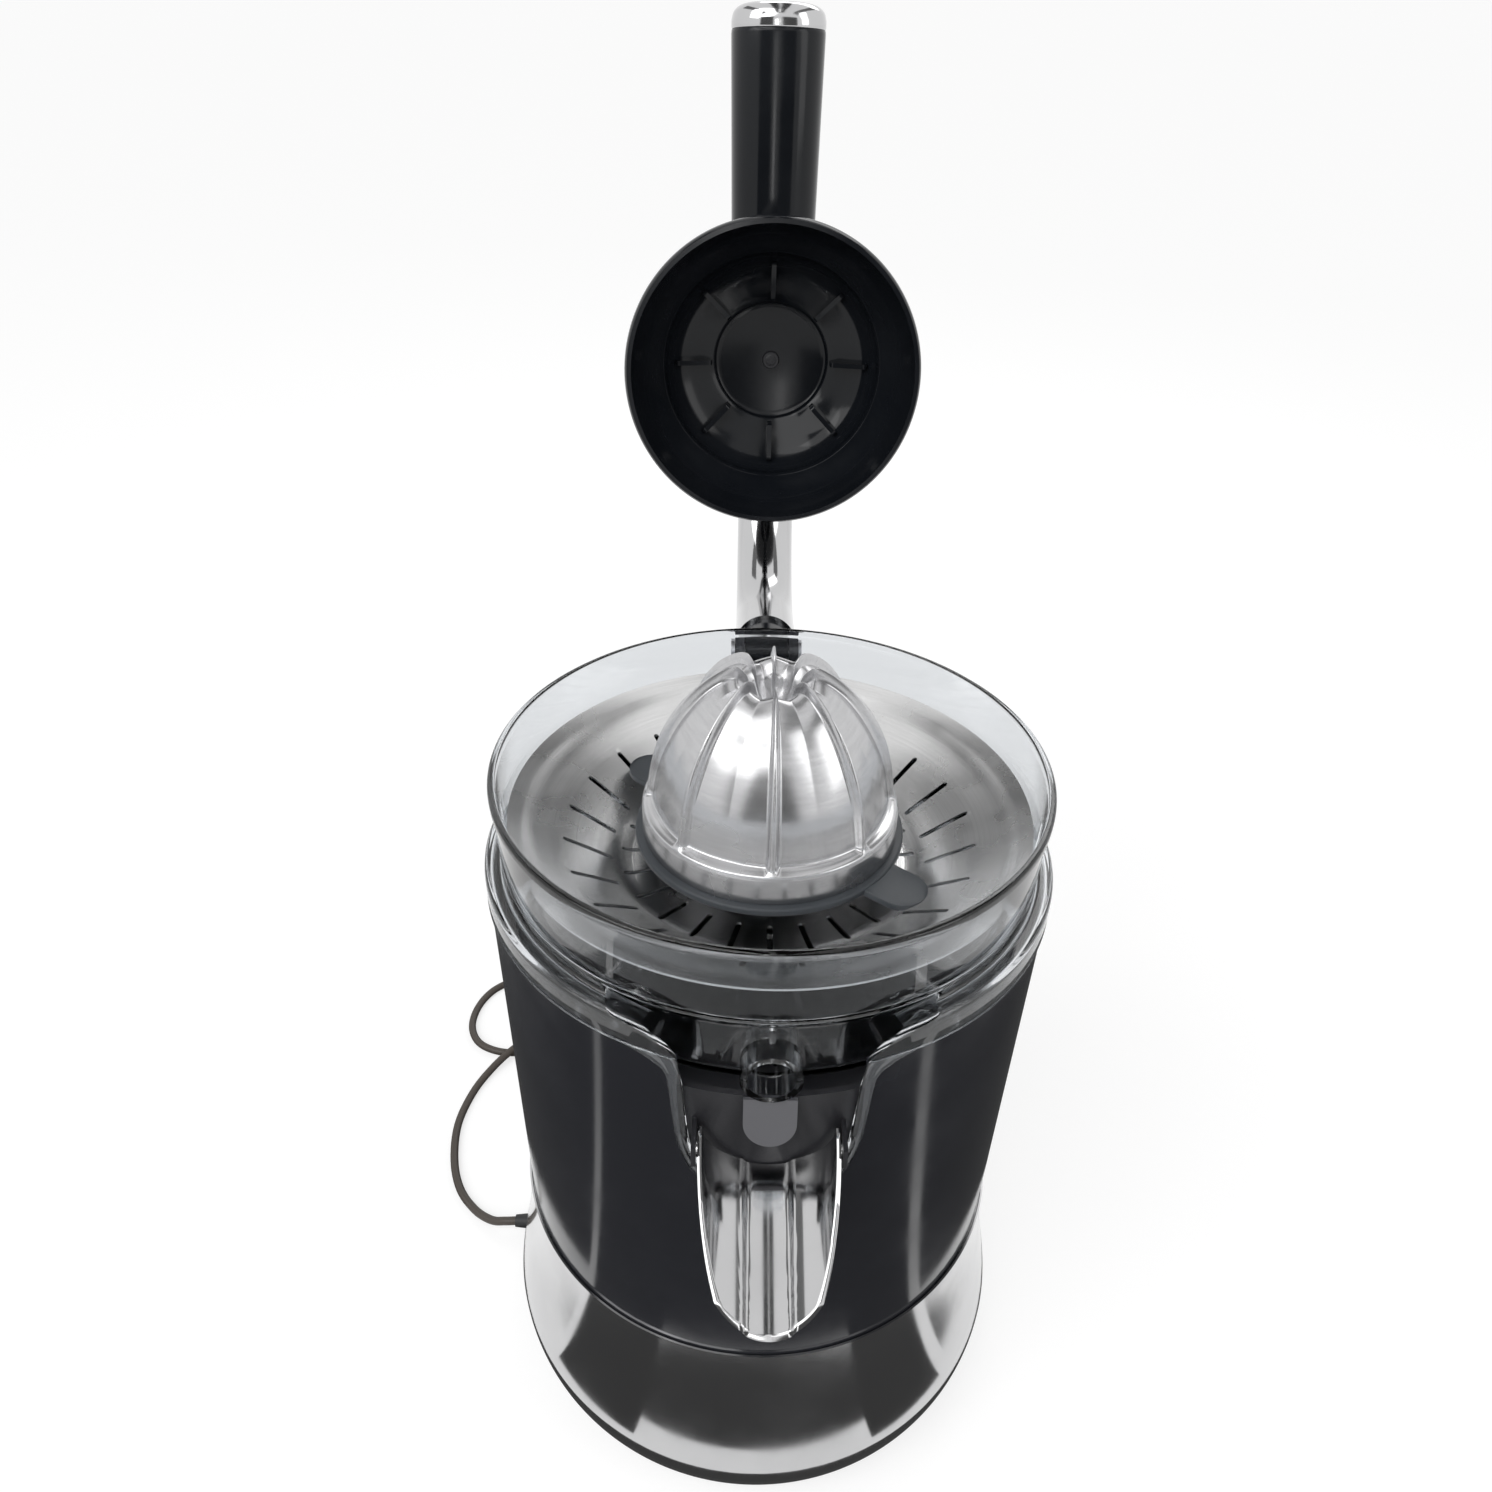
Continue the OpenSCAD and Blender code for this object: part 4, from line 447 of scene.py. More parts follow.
@dataclass(frozen=True)
class ClearPlastic(Finish):
    """Transparent polished plastic, slightly smoky."""

    colour: Point
    roughness: float = 0.02
    clearness: float = 1.0
    roughness_span: float = 0.05
    marks_per_m: float = 30.0

    def set_up(self, bench: ShaderBench, groups: ShaderGroups) -> None:
        """Sets the shader up.

        Args:
            bench: The material's bench.
            groups: The shared groups.
        """
        bench.plain(Metallic=0.0, IOR=1.49, Transmission_Weight=self.clearness, Specular_IOR_Level=0.5)
        marks = bench.group(groups.marks, Marks_per_m=self.marks_per_m)
        bench.tint(marks.outputs["Scuff"], self.colour, toned(self.colour, gain=0.96))
        bench.ramp(marks.outputs["Smudge"], self.roughness, self.roughness + self.roughness_span)


@dataclass(frozen=True)
class TurnedMetal(Finish):
    """Metal brushed or polished round the upright axis."""

    colour: Point
    roughness: float = 0.25
    roughness_span: float = 0.1
    lines_per_m: float = 2600.0
    depth_mm: float = 0.02
    anisotropy: float = 0.0

    def set_up(self, bench: ShaderBench, groups: ShaderGroups) -> None:
        """Sets the shader up.

        Args:
            bench: The material's bench.
            groups: The shared groups.
        """
        bench.plain(Metallic=1.0, Anisotropic=self.anisotropy)
        brushed = bench.group(groups.turned, Lines_per_m=self.lines_per_m)
        bench.tint(brushed.outputs["Lines"], toned(self.colour, gain=0.86), self.colour)
        bench.ramp(brushed.outputs["Cloud"], self.roughness, self.roughness + self.roughness_span)
        bench.bump(brushed.outputs["Lines"], strength=0.35, depth_mm=self.depth_mm)


@dataclass(frozen=True)
class PlainMetal(Finish):
    """Small plain metal parts with a faint grain."""

    colour: Point
    roughness: float = 0.35
    roughness_span: float = 0.15
    grain_per_m: float = 900.0
    depth_mm: float = 0.02

    def set_up(self, bench: ShaderBench, groups: ShaderGroups) -> None:
        """Sets the shader up.

        Args:
            bench: The material's bench.
            groups: The shared groups.
        """
        bench.plain(Metallic=1.0)
        grain = bench.group(groups.grain, Grain_per_m=self.grain_per_m)
        tone = grain.outputs["Tone"]
        bench.tint(tone, toned(self.colour, gain=0.8), self.colour)
        bench.ramp(tone, self.roughness, self.roughness + self.roughness_span)
        bench.bump(grain.outputs["Height"], strength=0.3, depth_mm=self.depth_mm)


FINISHES: tuple[Finish, ...] = (
    PolishedChrome("chrome_plate"),
    GlossPlastic("body_black", (0.022, 0.023, 0.028), roughness=0.1, gleam=0.5),
    GlossPlastic("black_gloss", (0.006, 0.0072, 0.0095), roughness=0.1, gleam=0.25),
    MouldedPlastic("black_matte", (0.018, 0.018, 0.021), roughness=0.42),
    ClearPlastic("clear_plastic", (0.75, 0.77, 0.79)),
    ClearPlastic("grey_translucent", (0.17, 0.17, 0.185), roughness=0.35, clearness=0.35),
    TurnedMetal("strainer_steel", (0.82, 0.82, 0.82), roughness=0.22, roughness_span=0.08,
                lines_per_m=2400.0, anisotropy=0.7),
    TurnedMetal("reamer_metal", (0.58, 0.58, 0.59), roughness=0.2, lines_per_m=700.0, depth_mm=0.008),
    MouldedPlastic("stirrer_grey", (0.035, 0.04, 0.046), roughness=0.45),
    MouldedPlastic("rubber_black", (0.02, 0.02, 0.02), roughness=0.75),
    PlainMetal("screw_steel", (0.62, 0.62, 0.64), roughness=0.3),
    PlainMetal("bracket_steel", (0.55, 0.56, 0.57)),
    PlainMetal("lamination_steel", (0.3, 0.31, 0.33), roughness=0.45),
    PlainMetal("winding_copper", (0.6, 0.27, 0.12)),
    PlainMetal("bush_bronze", (0.6, 0.43, 0.22), roughness=0.4),
    MouldedPlastic("gearbox_white", (0.62, 0.62, 0.59), roughness=0.5),
    MouldedPlastic("gear_nylon", (0.76, 0.74, 0.66), roughness=0.45),
    MouldedPlastic("fan_white", (0.7, 0.7, 0.67), roughness=0.45),
    MouldedPlastic("chassis_black", (0.03, 0.03, 0.032), roughness=0.6),
    GlossPlastic("button_red", (0.5, 0.05, 0.04), roughness=0.25, gleam=0.4),
    MouldedPlastic("cord_brown", (0.062, 0.052, 0.044), roughness=0.48, grain_per_m=2200.0, depth_mm=0.03),
    MouldedPlastic("plug_black", (0.022, 0.022, 0.023), roughness=0.5, grain_per_m=1800.0, depth_mm=0.04),
    PlainMetal("pin_brass", (0.74, 0.69, 0.56), roughness=0.25),
)


class Workshop:
    """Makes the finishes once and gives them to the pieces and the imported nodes."""

    def __init__(self) -> None:
        """Builds every finish and the tree that repeats pieces."""
        groups = ShaderGroups()
        self.materials = {finish.name: finish.make(groups) for finish in FINISHES}
        self.radial = RadialTree()
        self.lever = LeverPlace()

    def dress(self, piece: Piece, slot: str, body: Body, *nodes: str) -> Piece:
        """Gives a finished piece its finish and its place in the model.

        Args:
            piece: The piece, at the origin.
            slot: The material slot's name.
            body: The body that it rides on.
            *nodes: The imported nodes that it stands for.

        Returns:
            The piece.
        """
        piece.data.materials.clear()
        piece.data.materials.append(self.materials[slot])
        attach(piece, body.value)
        if nodes:
            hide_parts(*nodes)
        faces = len(piece.data.polygons)
        log.info("piece %s: %d faces, on %s, finish %s", piece.name, faces, body.value, slot)
        return piece

    def repeat(self, piece: Piece, count: int, slot: str, ring_mm: float = 0.0,
               first_deg: float = 0.0) -> Piece:
        """Repeats a piece round the axis, in one of the finishes."""
        return self.radial.repeat(piece, count, ring_mm, first_deg, self.materials[slot])

    def dress_nodes(self) -> None:
        """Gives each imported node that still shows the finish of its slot."""
        for row in frame["record"]["subparts"]:
            node, material = frame["nodes"][row["node"]], self.materials[row["material_slot"]]
            for place in node.material_slots:
                place.material = material
            if not node.material_slots:
                node.data.materials.append(material)
            if not node.hide_render:
                log.info("node %s: finish %s", row["node"], row["material_slot"])


def rounded(corners: Sequence[Corner], steps: int = 6) -> list[Pair]:
    """Rounds the corners of a closed outline.

    Args:
        corners: The two coordinates and the fillet of each corner, in mm.
        steps: How many lines make one fillet.

    Returns:
        The outline's points.
    """
    made: list[Pair] = []
    count = len(corners)
    for i, (a, b, fillet) in enumerate(corners):
        here = Vector((a, b))
        if fillet <= 0:
            made.append((a, b))
            continue
        before = Vector(corners[i - 1][:2]) - here
        after = Vector(corners[(i + 1) % count][:2]) - here
        angle = before.angle(after)
        if angle > NEARLY_STRAIGHT:
            made.append((a, b))
            continue
        reach = min(fillet / math.tan(angle / 2), before.length * FILLET_SHARE, after.length * FILLET_SHARE)
        start, end = here + before.normalized() * reach, here + after.normalized() * reach
        split = (before.normalized() + after.normalized()).normalized()
        middle = here + split * (reach / math.cos(angle / 2))
        first, last = start - middle, end - middle
        turn = first.angle_signed(last)
        for k in range(steps + 1):
            spoke = first.copy()
            spoke.rotate(Matrix.Rotation(-turn * k / steps, 2))
            made.append(tuple(middle + spoke))
    return made


def smooth_line(points: Sequence[Sequence[float]], steps: int) -> list[Vector]:
    """A smooth line through points.

    Args:
        points: The points, of any dimension.
        steps: How many lines run from one point to the next.

    Returns:
        The line's points.
    """
    p = [Vector(q) for q in points]
    last = len(p) - 1
    made: list[Vector] = []
    for i in range(last):
        a, b, c, d = p[max(i - 1, 0)], p[i], p[i + 1], p[min(i + 2, last)]
        for k in range(steps):
            t = k / steps
            made.append(0.5 * (2 * b + (c - a) * t + (2 * a - 5 * b + 4 * c - d) * t * t
                               + (3 * b - a - 3 * c + d) * t ** 3))
    made.append(p[last])
    return made


def polar(radius: float, angle: float, height: float) -> Point:
    """A point at a distance and an angle round the upright axis."""
    return radius * math.cos(angle), radius * math.sin(angle), height


def added(name: str, data: bpy.types.ID) -> Piece:
    """Adds an object with its data to the scene and returns it."""
    made = bpy.data.objects.new(name, data)
    bpy.context.scene.collection.objects.link(made)
    return made


def object_from(name: str, mesh: Mesh, sharp_deg: float = SHARP_DEG) -> Piece:
    """Turns a mesh in mm into an object in metres, with outward faces and smooth shading.

    Args:
        name: The piece's name.
        mesh: The mesh, which is freed.
        sharp_deg: Edges that turn more than this stay sharp.

    Returns:
        The object, linked to the scene.
    """
    bmesh.ops.remove_doubles(mesh, verts=mesh.verts, dist=WELD_MM)
    bmesh.ops.recalc_face_normals(mesh, faces=mesh.faces)
    data = bpy.data.meshes.new(name)
    mesh.to_mesh(data)
    mesh.free()
    data.transform(Matrix.Scale(MM, 4))
    made = added(name, data)
    shade(made, sharp_deg)
    return made


def shade(piece: Piece, sharp_deg: float) -> None:
    """Shades a piece smooth, with sharp edges above an angle."""
    piece.data.polygons.foreach_set("use_smooth", [True] * len(piece.data.polygons))
    piece.data.set_sharp_from_angle(angle=math.radians(sharp_deg))


def baked(piece: Piece) -> Piece:
    """Turns a piece's modifiers into its mesh.

    Args:
        piece: The piece.

    Returns:
        The same object with a plain mesh.
    """
    depsgraph = bpy.context.evaluated_depsgraph_get()
    mesh = bpy.data.meshes.new_from_object(piece.evaluated_get(depsgraph))
    piece.modifiers.clear()
    piece.data = mesh
    shade(piece, SHARP_DEG)
    return piece


def lathe(name: str, outline: Sequence[Pair], steps: int, closed: bool = True) -> Piece:
    """Turns an outline round the upright axis.

    Args:
        name: The piece's name.
        outline: Radius and height pairs, in mm.
        steps: How many faces go round.
        closed: Whether the outline's end joins its start; otherwise both ends lie on the axis.

    Returns:
        The piece.
    """
    mesh = bmesh.new()
    rings: list[list[bmesh.types.BMVert]] = []
    for radius, height in outline:
        if radius < ON_AXIS_MM:
            rings.append([mesh.verts.new((0, 0, height))])
            continue
        rings.append([mesh.verts.new(polar(radius, 2 * math.pi * k / steps, height)) for k in range(steps)])
    pairs = list(zip(rings, rings[1:] + rings[:1])) if closed else list(zip(rings, rings[1:]))
    for low, high in pairs:
        for k in range(steps):
            j = (k + 1) % steps
            corners = [low[k % len(low)], low[j % len(low)], high[j % len(high)], high[k % len(high)]]
            unique = list(dict.fromkeys(corners))
            if len(unique) > 2:
                mesh.faces.new(unique)
    return object_from(name, mesh)


def grid(mesh: Mesh, rows: Sequence[Sequence[Sequence[float]]], wrap: bool = False,
         caps: bool = False) -> None:
    """Adds a skin through rows of points.

    Args:
        mesh: The mesh that takes it.
        rows: Rows of the same number of points.
        wrap: Whether each row's end joins its start.
        caps: Whether the first and the last row are closed by a face.
    """
    verts = [[mesh.verts.new(p) for p in row] for row in rows]
    width = len(verts[0])
    for low, high in zip(verts, verts[1:]):
        for k in range(width if wrap else width - 1):
            j = (k + 1) % width
            mesh.faces.new((low[k], low[j], high[j], high[k]))
    if caps:
        mesh.faces.new(verts[0])
        mesh.faces.new(verts[-1])


def solid(name: str, rows: Sequence[Sequence[Sequence[float]]], sharp_deg: float = SHARP_DEG) -> Piece:
    """A closed solid through rings of points.

    Args:
        name: The piece's name.
        rows: The rings, all of the same number of points.
        sharp_deg: Edges that turn more than this stay sharp.

    Returns:
        The piece.
    """
    mesh = bmesh.new()
    grid(mesh, rows, wrap=True, caps=True)
    return object_from(name, mesh, sharp_deg)


def tube_rows(points: Sequence[Sequence[float]], radius: float, sides: int) -> list[list[Vector]]:
    """Rings of points along a path, for a round tube.

    Args:
        points: The centre line.
        radius: The tube's radius.
        sides: How many points make a ring.

    Returns:
        The rings.
    """
    path = [Vector(point) for point in points]
    rows: list[list[Vector]] = []
    side = Vector((0, 0, 0))
    for i, here in enumerate(path):
        along = (path[min(i + 1, len(path) - 1)] - path[max(i - 1, 0)]).normalized()
        if side.length < 0.5:
            guide = Vector((0, 0, 1)) if abs(along.z) < 0.9 else Vector((1, 0, 0))
            side = along.cross(guide).normalized()
        side = (side - along * side.dot(along)).normalized()
        up = side.cross(along)
        rows.append([here + radius * (side * math.cos(2 * math.pi * k / sides)
                                      + up * math.sin(2 * math.pi * k / sides)) for k in range(sides)])
    return rows


def standing(a: float, b: float, c: float) -> Point:
    """Stands an outline up: its second coordinate is the height, and the third one runs back."""
    return a, c, b


def lying(a: float, b: float, c: float) -> Point:
    """Leaves an outline lying: the third coordinate is the height."""
    return a, b, c


def prism(name: str, outline: Sequence[Pair], low: float, high: float,
          place: Callable[[float, float, float], Point] = standing) -> Piece:
    """Draws an outline out to a solid, from low to high along the third direction."""
    return solid(name, [[place(a, b, c) for a, b in outline] for c in (low, high)])


def turned(piece: Piece, turn_deg: float) -> Piece:
    """Turns a piece round the upright axis and returns it."""
    piece.data.transform(Matrix.Rotation(math.radians(turn_deg), 4, "Z"))
    return piece


def moved(piece: Piece, offset_mm: Point) -> Piece:
    """Moves a piece and returns it."""
    piece.data.transform(Matrix.Translation(Vector(offset_mm) * MM))
    return piece


def carve(piece: Piece, tool: Piece, carving: Carving) -> Piece:
    """Joins a tool to a piece, or cuts it away, and removes the tool.

    Args:
        piece: The piece.
        tool: The other solid.
        carving: What the tool does.

    Returns:
        The piece with a plain mesh.
    """
    step = piece.modifiers.new("carve", "BOOLEAN")
    step.operation, step.solver, step.object = carving.value, "EXACT", tool
    baked(piece)
    bpy.data.objects.remove(tool)
    return piece


def softened(piece: Piece, width_mm: float, segments: int, angle_deg: float) -> Piece:
    """Rounds the sharp edges of a piece.

    Args:
        piece: The piece.
        width_mm: The bevel's width.
        segments: Its number of faces across.
        angle_deg: Edges that turn more than this are rounded.

    Returns:
        The piece with a plain mesh.
    """
    step = piece.modifiers.new("edges", "BEVEL")
    step.width, step.segments = width_mm * MM, segments
    step.limit_method, step.angle_limit = "ANGLE", math.radians(angle_deg)
    step.harden_normals = False
    return baked(piece)


class RadialTree:
    """A Geometry Nodes tree that repeats one piece round the upright axis."""

    def __init__(self) -> None:
        """Builds the tree with its named inputs."""
        self.tree = bpy.data.node_groups.new("repeat_round_axis", "GeometryNodeTree")
        face = self.tree.interface
        face.new_socket("Geometry", in_out="OUTPUT", socket_type="NodeSocketGeometry")
        face.new_socket("Geometry", in_out="INPUT", socket_type="NodeSocketGeometry")
        for name, kind in (("Count", "NodeSocketInt"), ("Ring Radius", "NodeSocketFloat"),
                           ("First Angle", "NodeSocketFloat"), ("Finish", "NodeSocketMaterial")):
            face.new_socket(name, in_out="INPUT", socket_type=kind)
        nodes, links = self.tree.nodes, self.tree.links
        inlet, outlet = nodes.new("NodeGroupInput"), nodes.new("NodeGroupOutput")
        points = nodes.new("GeometryNodePoints")
        index = nodes.new("GeometryNodeInputIndex")
        share = maths(self.tree, "DIVIDE", index.outputs[0], inlet.outputs["Count"])
        turn = maths(self.tree, "MULTIPLY_ADD", share, 2 * math.pi, inlet.outputs["First Angle"])
        place = nodes.new("ShaderNodeCombineXYZ")
        for k, wave in enumerate(("COSINE", "SINE")):
            share = maths(self.tree, "MULTIPLY", maths(self.tree, wave, turn), inlet.outputs["Ring Radius"])
            links.new(share, place.inputs[k])
        spin = nodes.new("ShaderNodeCombineXYZ")
        links.new(turn, spin.inputs[2])
        links.new(inlet.outputs["Count"], points.inputs["Count"])
        links.new(place.outputs[0], points.inputs["Position"])
        copies = nodes.new("GeometryNodeInstanceOnPoints")
        links.new(points.outputs[0], copies.inputs["Points"])
        links.new(inlet.outputs["Geometry"], copies.inputs["Instance"])
        links.new(spin.outputs[0], copies.inputs["Rotation"])
        real = nodes.new("GeometryNodeRealizeInstances")
        links.new(copies.outputs[0], real.inputs[0])
        finish = nodes.new("GeometryNodeSetMaterial")
        links.new(real.outputs[0], finish.inputs[0])
        links.new(inlet.outputs["Finish"], finish.inputs["Material"])
        links.new(finish.outputs[0], outlet.inputs[0])

    def repeat(self, piece: Piece, count: int, ring_mm: float, first_deg: float,
               material: Material) -> Piece:
        """Repeats a piece round the axis and bakes it.

        Args:
            piece: The piece, made at the axis and pointing along +X.
            count: How many copies.
            ring_mm: How far out they stand.
            first_deg: The first copy's angle.
            material: Their finish.

        Returns:
            The same object with all the copies as a plain mesh.
        """
        step = piece.modifiers.new("repeat", "NODES")
        step.node_group = self.tree
        values = {"Count": count, "Ring Radius": ring_mm * MM, "First Angle": math.radians(first_deg),
                  "Finish": material}
        for item in self.tree.interface.items_tree:
            if item.in_out == "INPUT" and item.name in values:
                step[item.identifier] = values[item.name]
        return baked(piece)


@dataclass(frozen=True)
class LeverPlace:
    """Where the lever's hinge is, and how far it stands raised from the pressed place."""

    hinge_y: float = 104.0
    hinge_z: float = 258.0
    raised_deg: float = 97.0

    def lift(self, piece: Piece) -> Piece:
        """Turns a piece from the pressed place to the raised place.

        Args:
            piece: A piece made in the pressed place.

        Returns:
            The piece.
        """
        at = Vector((0, self.hinge_y, self.hinge_z)) * MM
        turn = Matrix.Rotation(-math.radians(self.raised_deg), 4, "X")
        piece.data.transform(Matrix.Translation(at) @ turn @ Matrix.Translation(-at))
        return piece


@dataclass(frozen=True)
class ChromedBase:
    """The swelling base shell with the seat that the body stands on."""

    rim_r: float = 91.3
    belly_r: float = 99.0
    belly_z: float = 26.5
    top_z: float = 90.0
    foot_r: float = 89.5
    foot_z: float = 1.8
    wall: float = 2.2
    swell_power: float = 4.5
    drop_power: float = 1.5
    tuck_deg: float = 60.0
    side_steps: int = 56
    tuck_steps: int = 24
    seat_in_r: float = 80.0
    seat_z: float = 86.0
    seat_r: float = 90.3
    seat_t: float = 2.2
    lip: float = 0.3
    cord_y: float = 18.0
    cord_z: float = 7.0
    cord_hole_r: float = 4.2
    cord_hole_x: Pair = (-78.0, -104.0)

    def side(self) -> list[Pair]:
        """The outer line.

        Returns:
            Its points, from the upper edge down to the table.
        """
        tuck = math.radians(self.tuck_deg)
        arc_r = (self.belly_r - self.foot_r) / (1 - math.cos(tuck))
        arc_h = (self.belly_z - self.foot_z) / math.sin(tuck)
        made: list[Pair] = []
        for i in range(self.side_steps + 1):
            t = math.pi / 2 * i / self.side_steps
            swell, drop = math.sin(t) ** self.swell_power, max(math.cos(t), 0.0) ** self.drop_power
            made.append((self.rim_r + (self.belly_r - self.rim_r) * swell,
                         self.belly_z + (self.top_z - self.belly_z) * drop))
        for i in range(1, self.tuck_steps):
            t = tuck * i / self.tuck_steps
            made.append((self.belly_r - arc_r * (1 - math.cos(t)), self.belly_z - arc_h * math.sin(t)))
        return made + [(self.foot_r - 0.1, self.foot_z + 0.2), (self.foot_r - 0.5, self.foot_z)]

    def build(self, shop: Workshop) -> None:
        """Makes the base shell.

        Args:
            shop: Gives it its finish.
        """
        side, ledge_z = self.side(), self.seat_z - self.seat_t
        inner = [(r - self.wall, z) for r, z in reversed(side) if z < ledge_z - 1]
        seat = [(inner[-1][0], ledge_z), (self.seat_in_r, ledge_z), (self.seat_in_r, self.seat_z),
                (self.seat_r, self.seat_z), (self.seat_r, self.top_z - self.lip),
                (self.seat_r + self.lip, self.top_z)]
        shell = lathe("chromed_base", side + inner + seat, steps=288)
        path = [(x, self.cord_y, self.cord_z) for x in self.cord_hole_x]
        carve(shell, solid("hole", tube_rows(path, self.cord_hole_r, sides=32)), Carving.CUT)
        shop.dress(shell, "chrome_plate", Body.HOUSING, "base_shell")


@dataclass(frozen=True)
class JuiceBowl:
    """The clear bowl with its skirt, outlet nozzle, resting ribs and front apron."""

    rim_r: float = 90.0
    rim_z: float = 277.0
    wall: float = 2.0
    waist_r: float = 88.0
    skirt_r: float = 93.8
    skirt_top_z: float = 246.0
    skirt_low_z: float = 236.0
    basin_r: float = 84.5
    basin_z: float = 222.0
    chimney_r: float = 14.3
    chimney_z: float = 256.0
    nozzle_r: float = 9.0
    nozzle_z: float = 231.0
    nozzle_mouth_y: float = -92.0
    rib_out_r: float = 40.0
    rib_top_z: float = 237.9
    apron_low_z: float = 180.0
    apron_half_w: float = 43.0
    apron_t: float = 1.6
    apron_back_r: float = 93.25
    apron_sink: float = 1.13
    apron_inset: float = 0.08
    apron_joint: float = 0.995
    opening_y: Pair = (-130.0, -20.0)
    kept_z: Pair = (150.0, 300.0)
    kept_gap: float = 0.03
    ribs: int = 8
    rib_half_t: float = 1.0
    guide_half_t: float = 0.9
    guide_top_z: float = 244.0
    guide_front_y: float = -86.6
    rim_h: float = 2.9
    rim_step: float = 0.8
    shoulder_drop: float = 20.0
    waist_drop: float = 27.0
    draft: float = 0.02
    sharp_deg: float = 26.0
    outer_line: Line = (
        (0, 0), (0.21, 0.015), (0.37, 0.06), (0.512, 0.155), (0.586, 0.26), (0.633, 0.4), (0.66, 0.58),
        (0.686, 0.82), (0.715, 0.9), (0.78, 0.945), (0.88, 0.98), (1.0, 1.0))
    inner_line: Line = (
        (0, 0.075), (0.16, 0.085), (0.3, 0.13), (0.41, 0.2), (0.488, 0.28), (0.537, 0.4), (0.558, 0.58),
        (0.58, 0.8), (0.6, 0.91), (0.625, 1.0), (0.68, 1.06), (0.79, 1.12))
    open_line: Line = (
        (0.6, 0.91), (0.625, 1.0), (0.68, 1.06), (0.79, 1.12), (0.92, 1.155), (1.08, 1.175), (1.12, 1.23))
    band_section: Line = (
        (0.0, 0.35), (0.02, 0.68), (0.07, 0.92), (0.16, 1.0), (0.3, 0.94), (0.5, 0.9), (0.7, 0.94),
        (0.84, 1.0), (0.93, 0.92), (0.98, 0.68), (1.0, 0.35), (0.985, 0.1), (0.93, 0.0), (0.07, 0.0),
        (0.015, 0.1))

    def outline(self) -> list[Pair]:
        """The section of the bowl.

        Returns:
            Its points, from the rim's inner edge outwards and round.
        """
        r, z, w, step = self.rim_r, self.rim_z, self.wall, self.rim_step
        shoulder_z, waist_z = z - self.shoulder_drop, z - self.waist_drop
        return rounded([
            (r - w - 0.2, z, 0.7), (r, z, 1.0), (r, z - self.rim_h, 0.8),
            (r - step, z - self.rim_h - step, 0.6), (self.waist_r + 0.4, shoulder_z, 8.0),
            (self.waist_r, waist_z, 3.0), (self.waist_r, self.skirt_top_z, 1.6),
            (self.skirt_r, self.skirt_top_z, 1.5), (self.skirt_r, self.skirt_low_z, 0.4),
            (self.skirt_r - w, self.skirt_low_z, 0.4), (self.skirt_r - w, self.skirt_top_z - w, 1.0),
            (self.basin_r, self.skirt_top_z - w - 1, 1.2), (self.basin_r, self.basin_z, 3.2),
            (self.chimney_r - w, self.basin_z, 0.6), (self.chimney_r - w, self.chimney_z, 0.4),
            (self.chimney_r, self.chimney_z, 0.5), (self.chimney_r, self.basin_z + w, 1.4),
            (self.basin_r - w, self.basin_z + w, 2.6), (self.basin_r - w, self.skirt_top_z - w, 2.5),
            (self.waist_r - w, waist_z - 0.5, 3.0), (self.waist_r - w + 0.3, shoulder_z, 6.0)], steps=5)

    def front_point(self, share: Sequence[float], radius: float) -> Point:
        """A point of the apron, from shares of its width and height and its distance from the axis."""
        x = self.apron_half_w * share[0]
        return x, -math.sqrt(radius * radius - x * x), self.height(share)

    def height(self, share: Sequence[float]) -> float:
        """The height above the table for a share of the apron's height."""
        return self.apron_low_z + (self.skirt_low_z - self.apron_low_z) * share[1]

    @staticmethod
    def both_sides(line: Sequence[Pair]) -> list[Vector]:
        """A smooth line from the middle outwards, behind its mirror image."""
        half = smooth_line(line, steps=6)
        return [Vector((-a, b)) for a, b in reversed(half[1:])] + half

    def apron(self) -> Piece:
        """The U-shaped band that hangs from the skirt round the spout's opening.

        Returns:
            The band as a closed solid.
        """
        rows: list[list[Point]] = []
        for low, high in zip(self.both_sides(self.outer_line), self.both_sides(self.inner_line)):
            row: list[Point] = []
            for u, depth in self.band_section:
                share = high.lerp(low, u)
                drop = max(0.0, self.skirt_low_z - self.height(share)) * self.draft
                back = self.apron_back_r - drop
                front = back + self.apron_t - (self.apron_sink - drop)
                if share[1] > self.apron_joint:
                    front = self.skirt_r - self.apron_inset
                row.append(self.front_point(share, back + (front - back) * depth))
            rows.append(row)
        return solid("apron", rows)

    def opening(self) -> Piece:
        """The space in front of the outlet where the skirt is left out.

        Returns:
            The cutting solid.
        """
        half = [tuple(p) for p in smooth_line(self.open_line, steps=5)]
        line = half + [(-a, b) for a, b in reversed(half)]
        corners = [(self.apron_half_w * a, self.height((a, b))) for a, b in line]
        tool = prism("opening", corners, *self.opening_y)
        low, high = self.kept_z
        inner_r, waist_r = self.basin_r + self.kept_gap, self.waist_r + self.kept_gap
        line = [(0, low), (inner_r, low), (inner_r, self.skirt_top_z - self.wall),
                (waist_r, self.rim_z - self.waist_drop), (waist_r, high), (0, high)]
        kept = lathe("kept", line, steps=256, closed=False)
        return carve(tool, kept, Carving.CUT)

    def tube(self, radius: float, y0: float, y1: float) -> Piece:
        """A cylinder along the outlet's axis."""
        return solid("tube", tube_rows([(0, y, self.nozzle_z) for y in (y0, y1)], radius, sides=72))

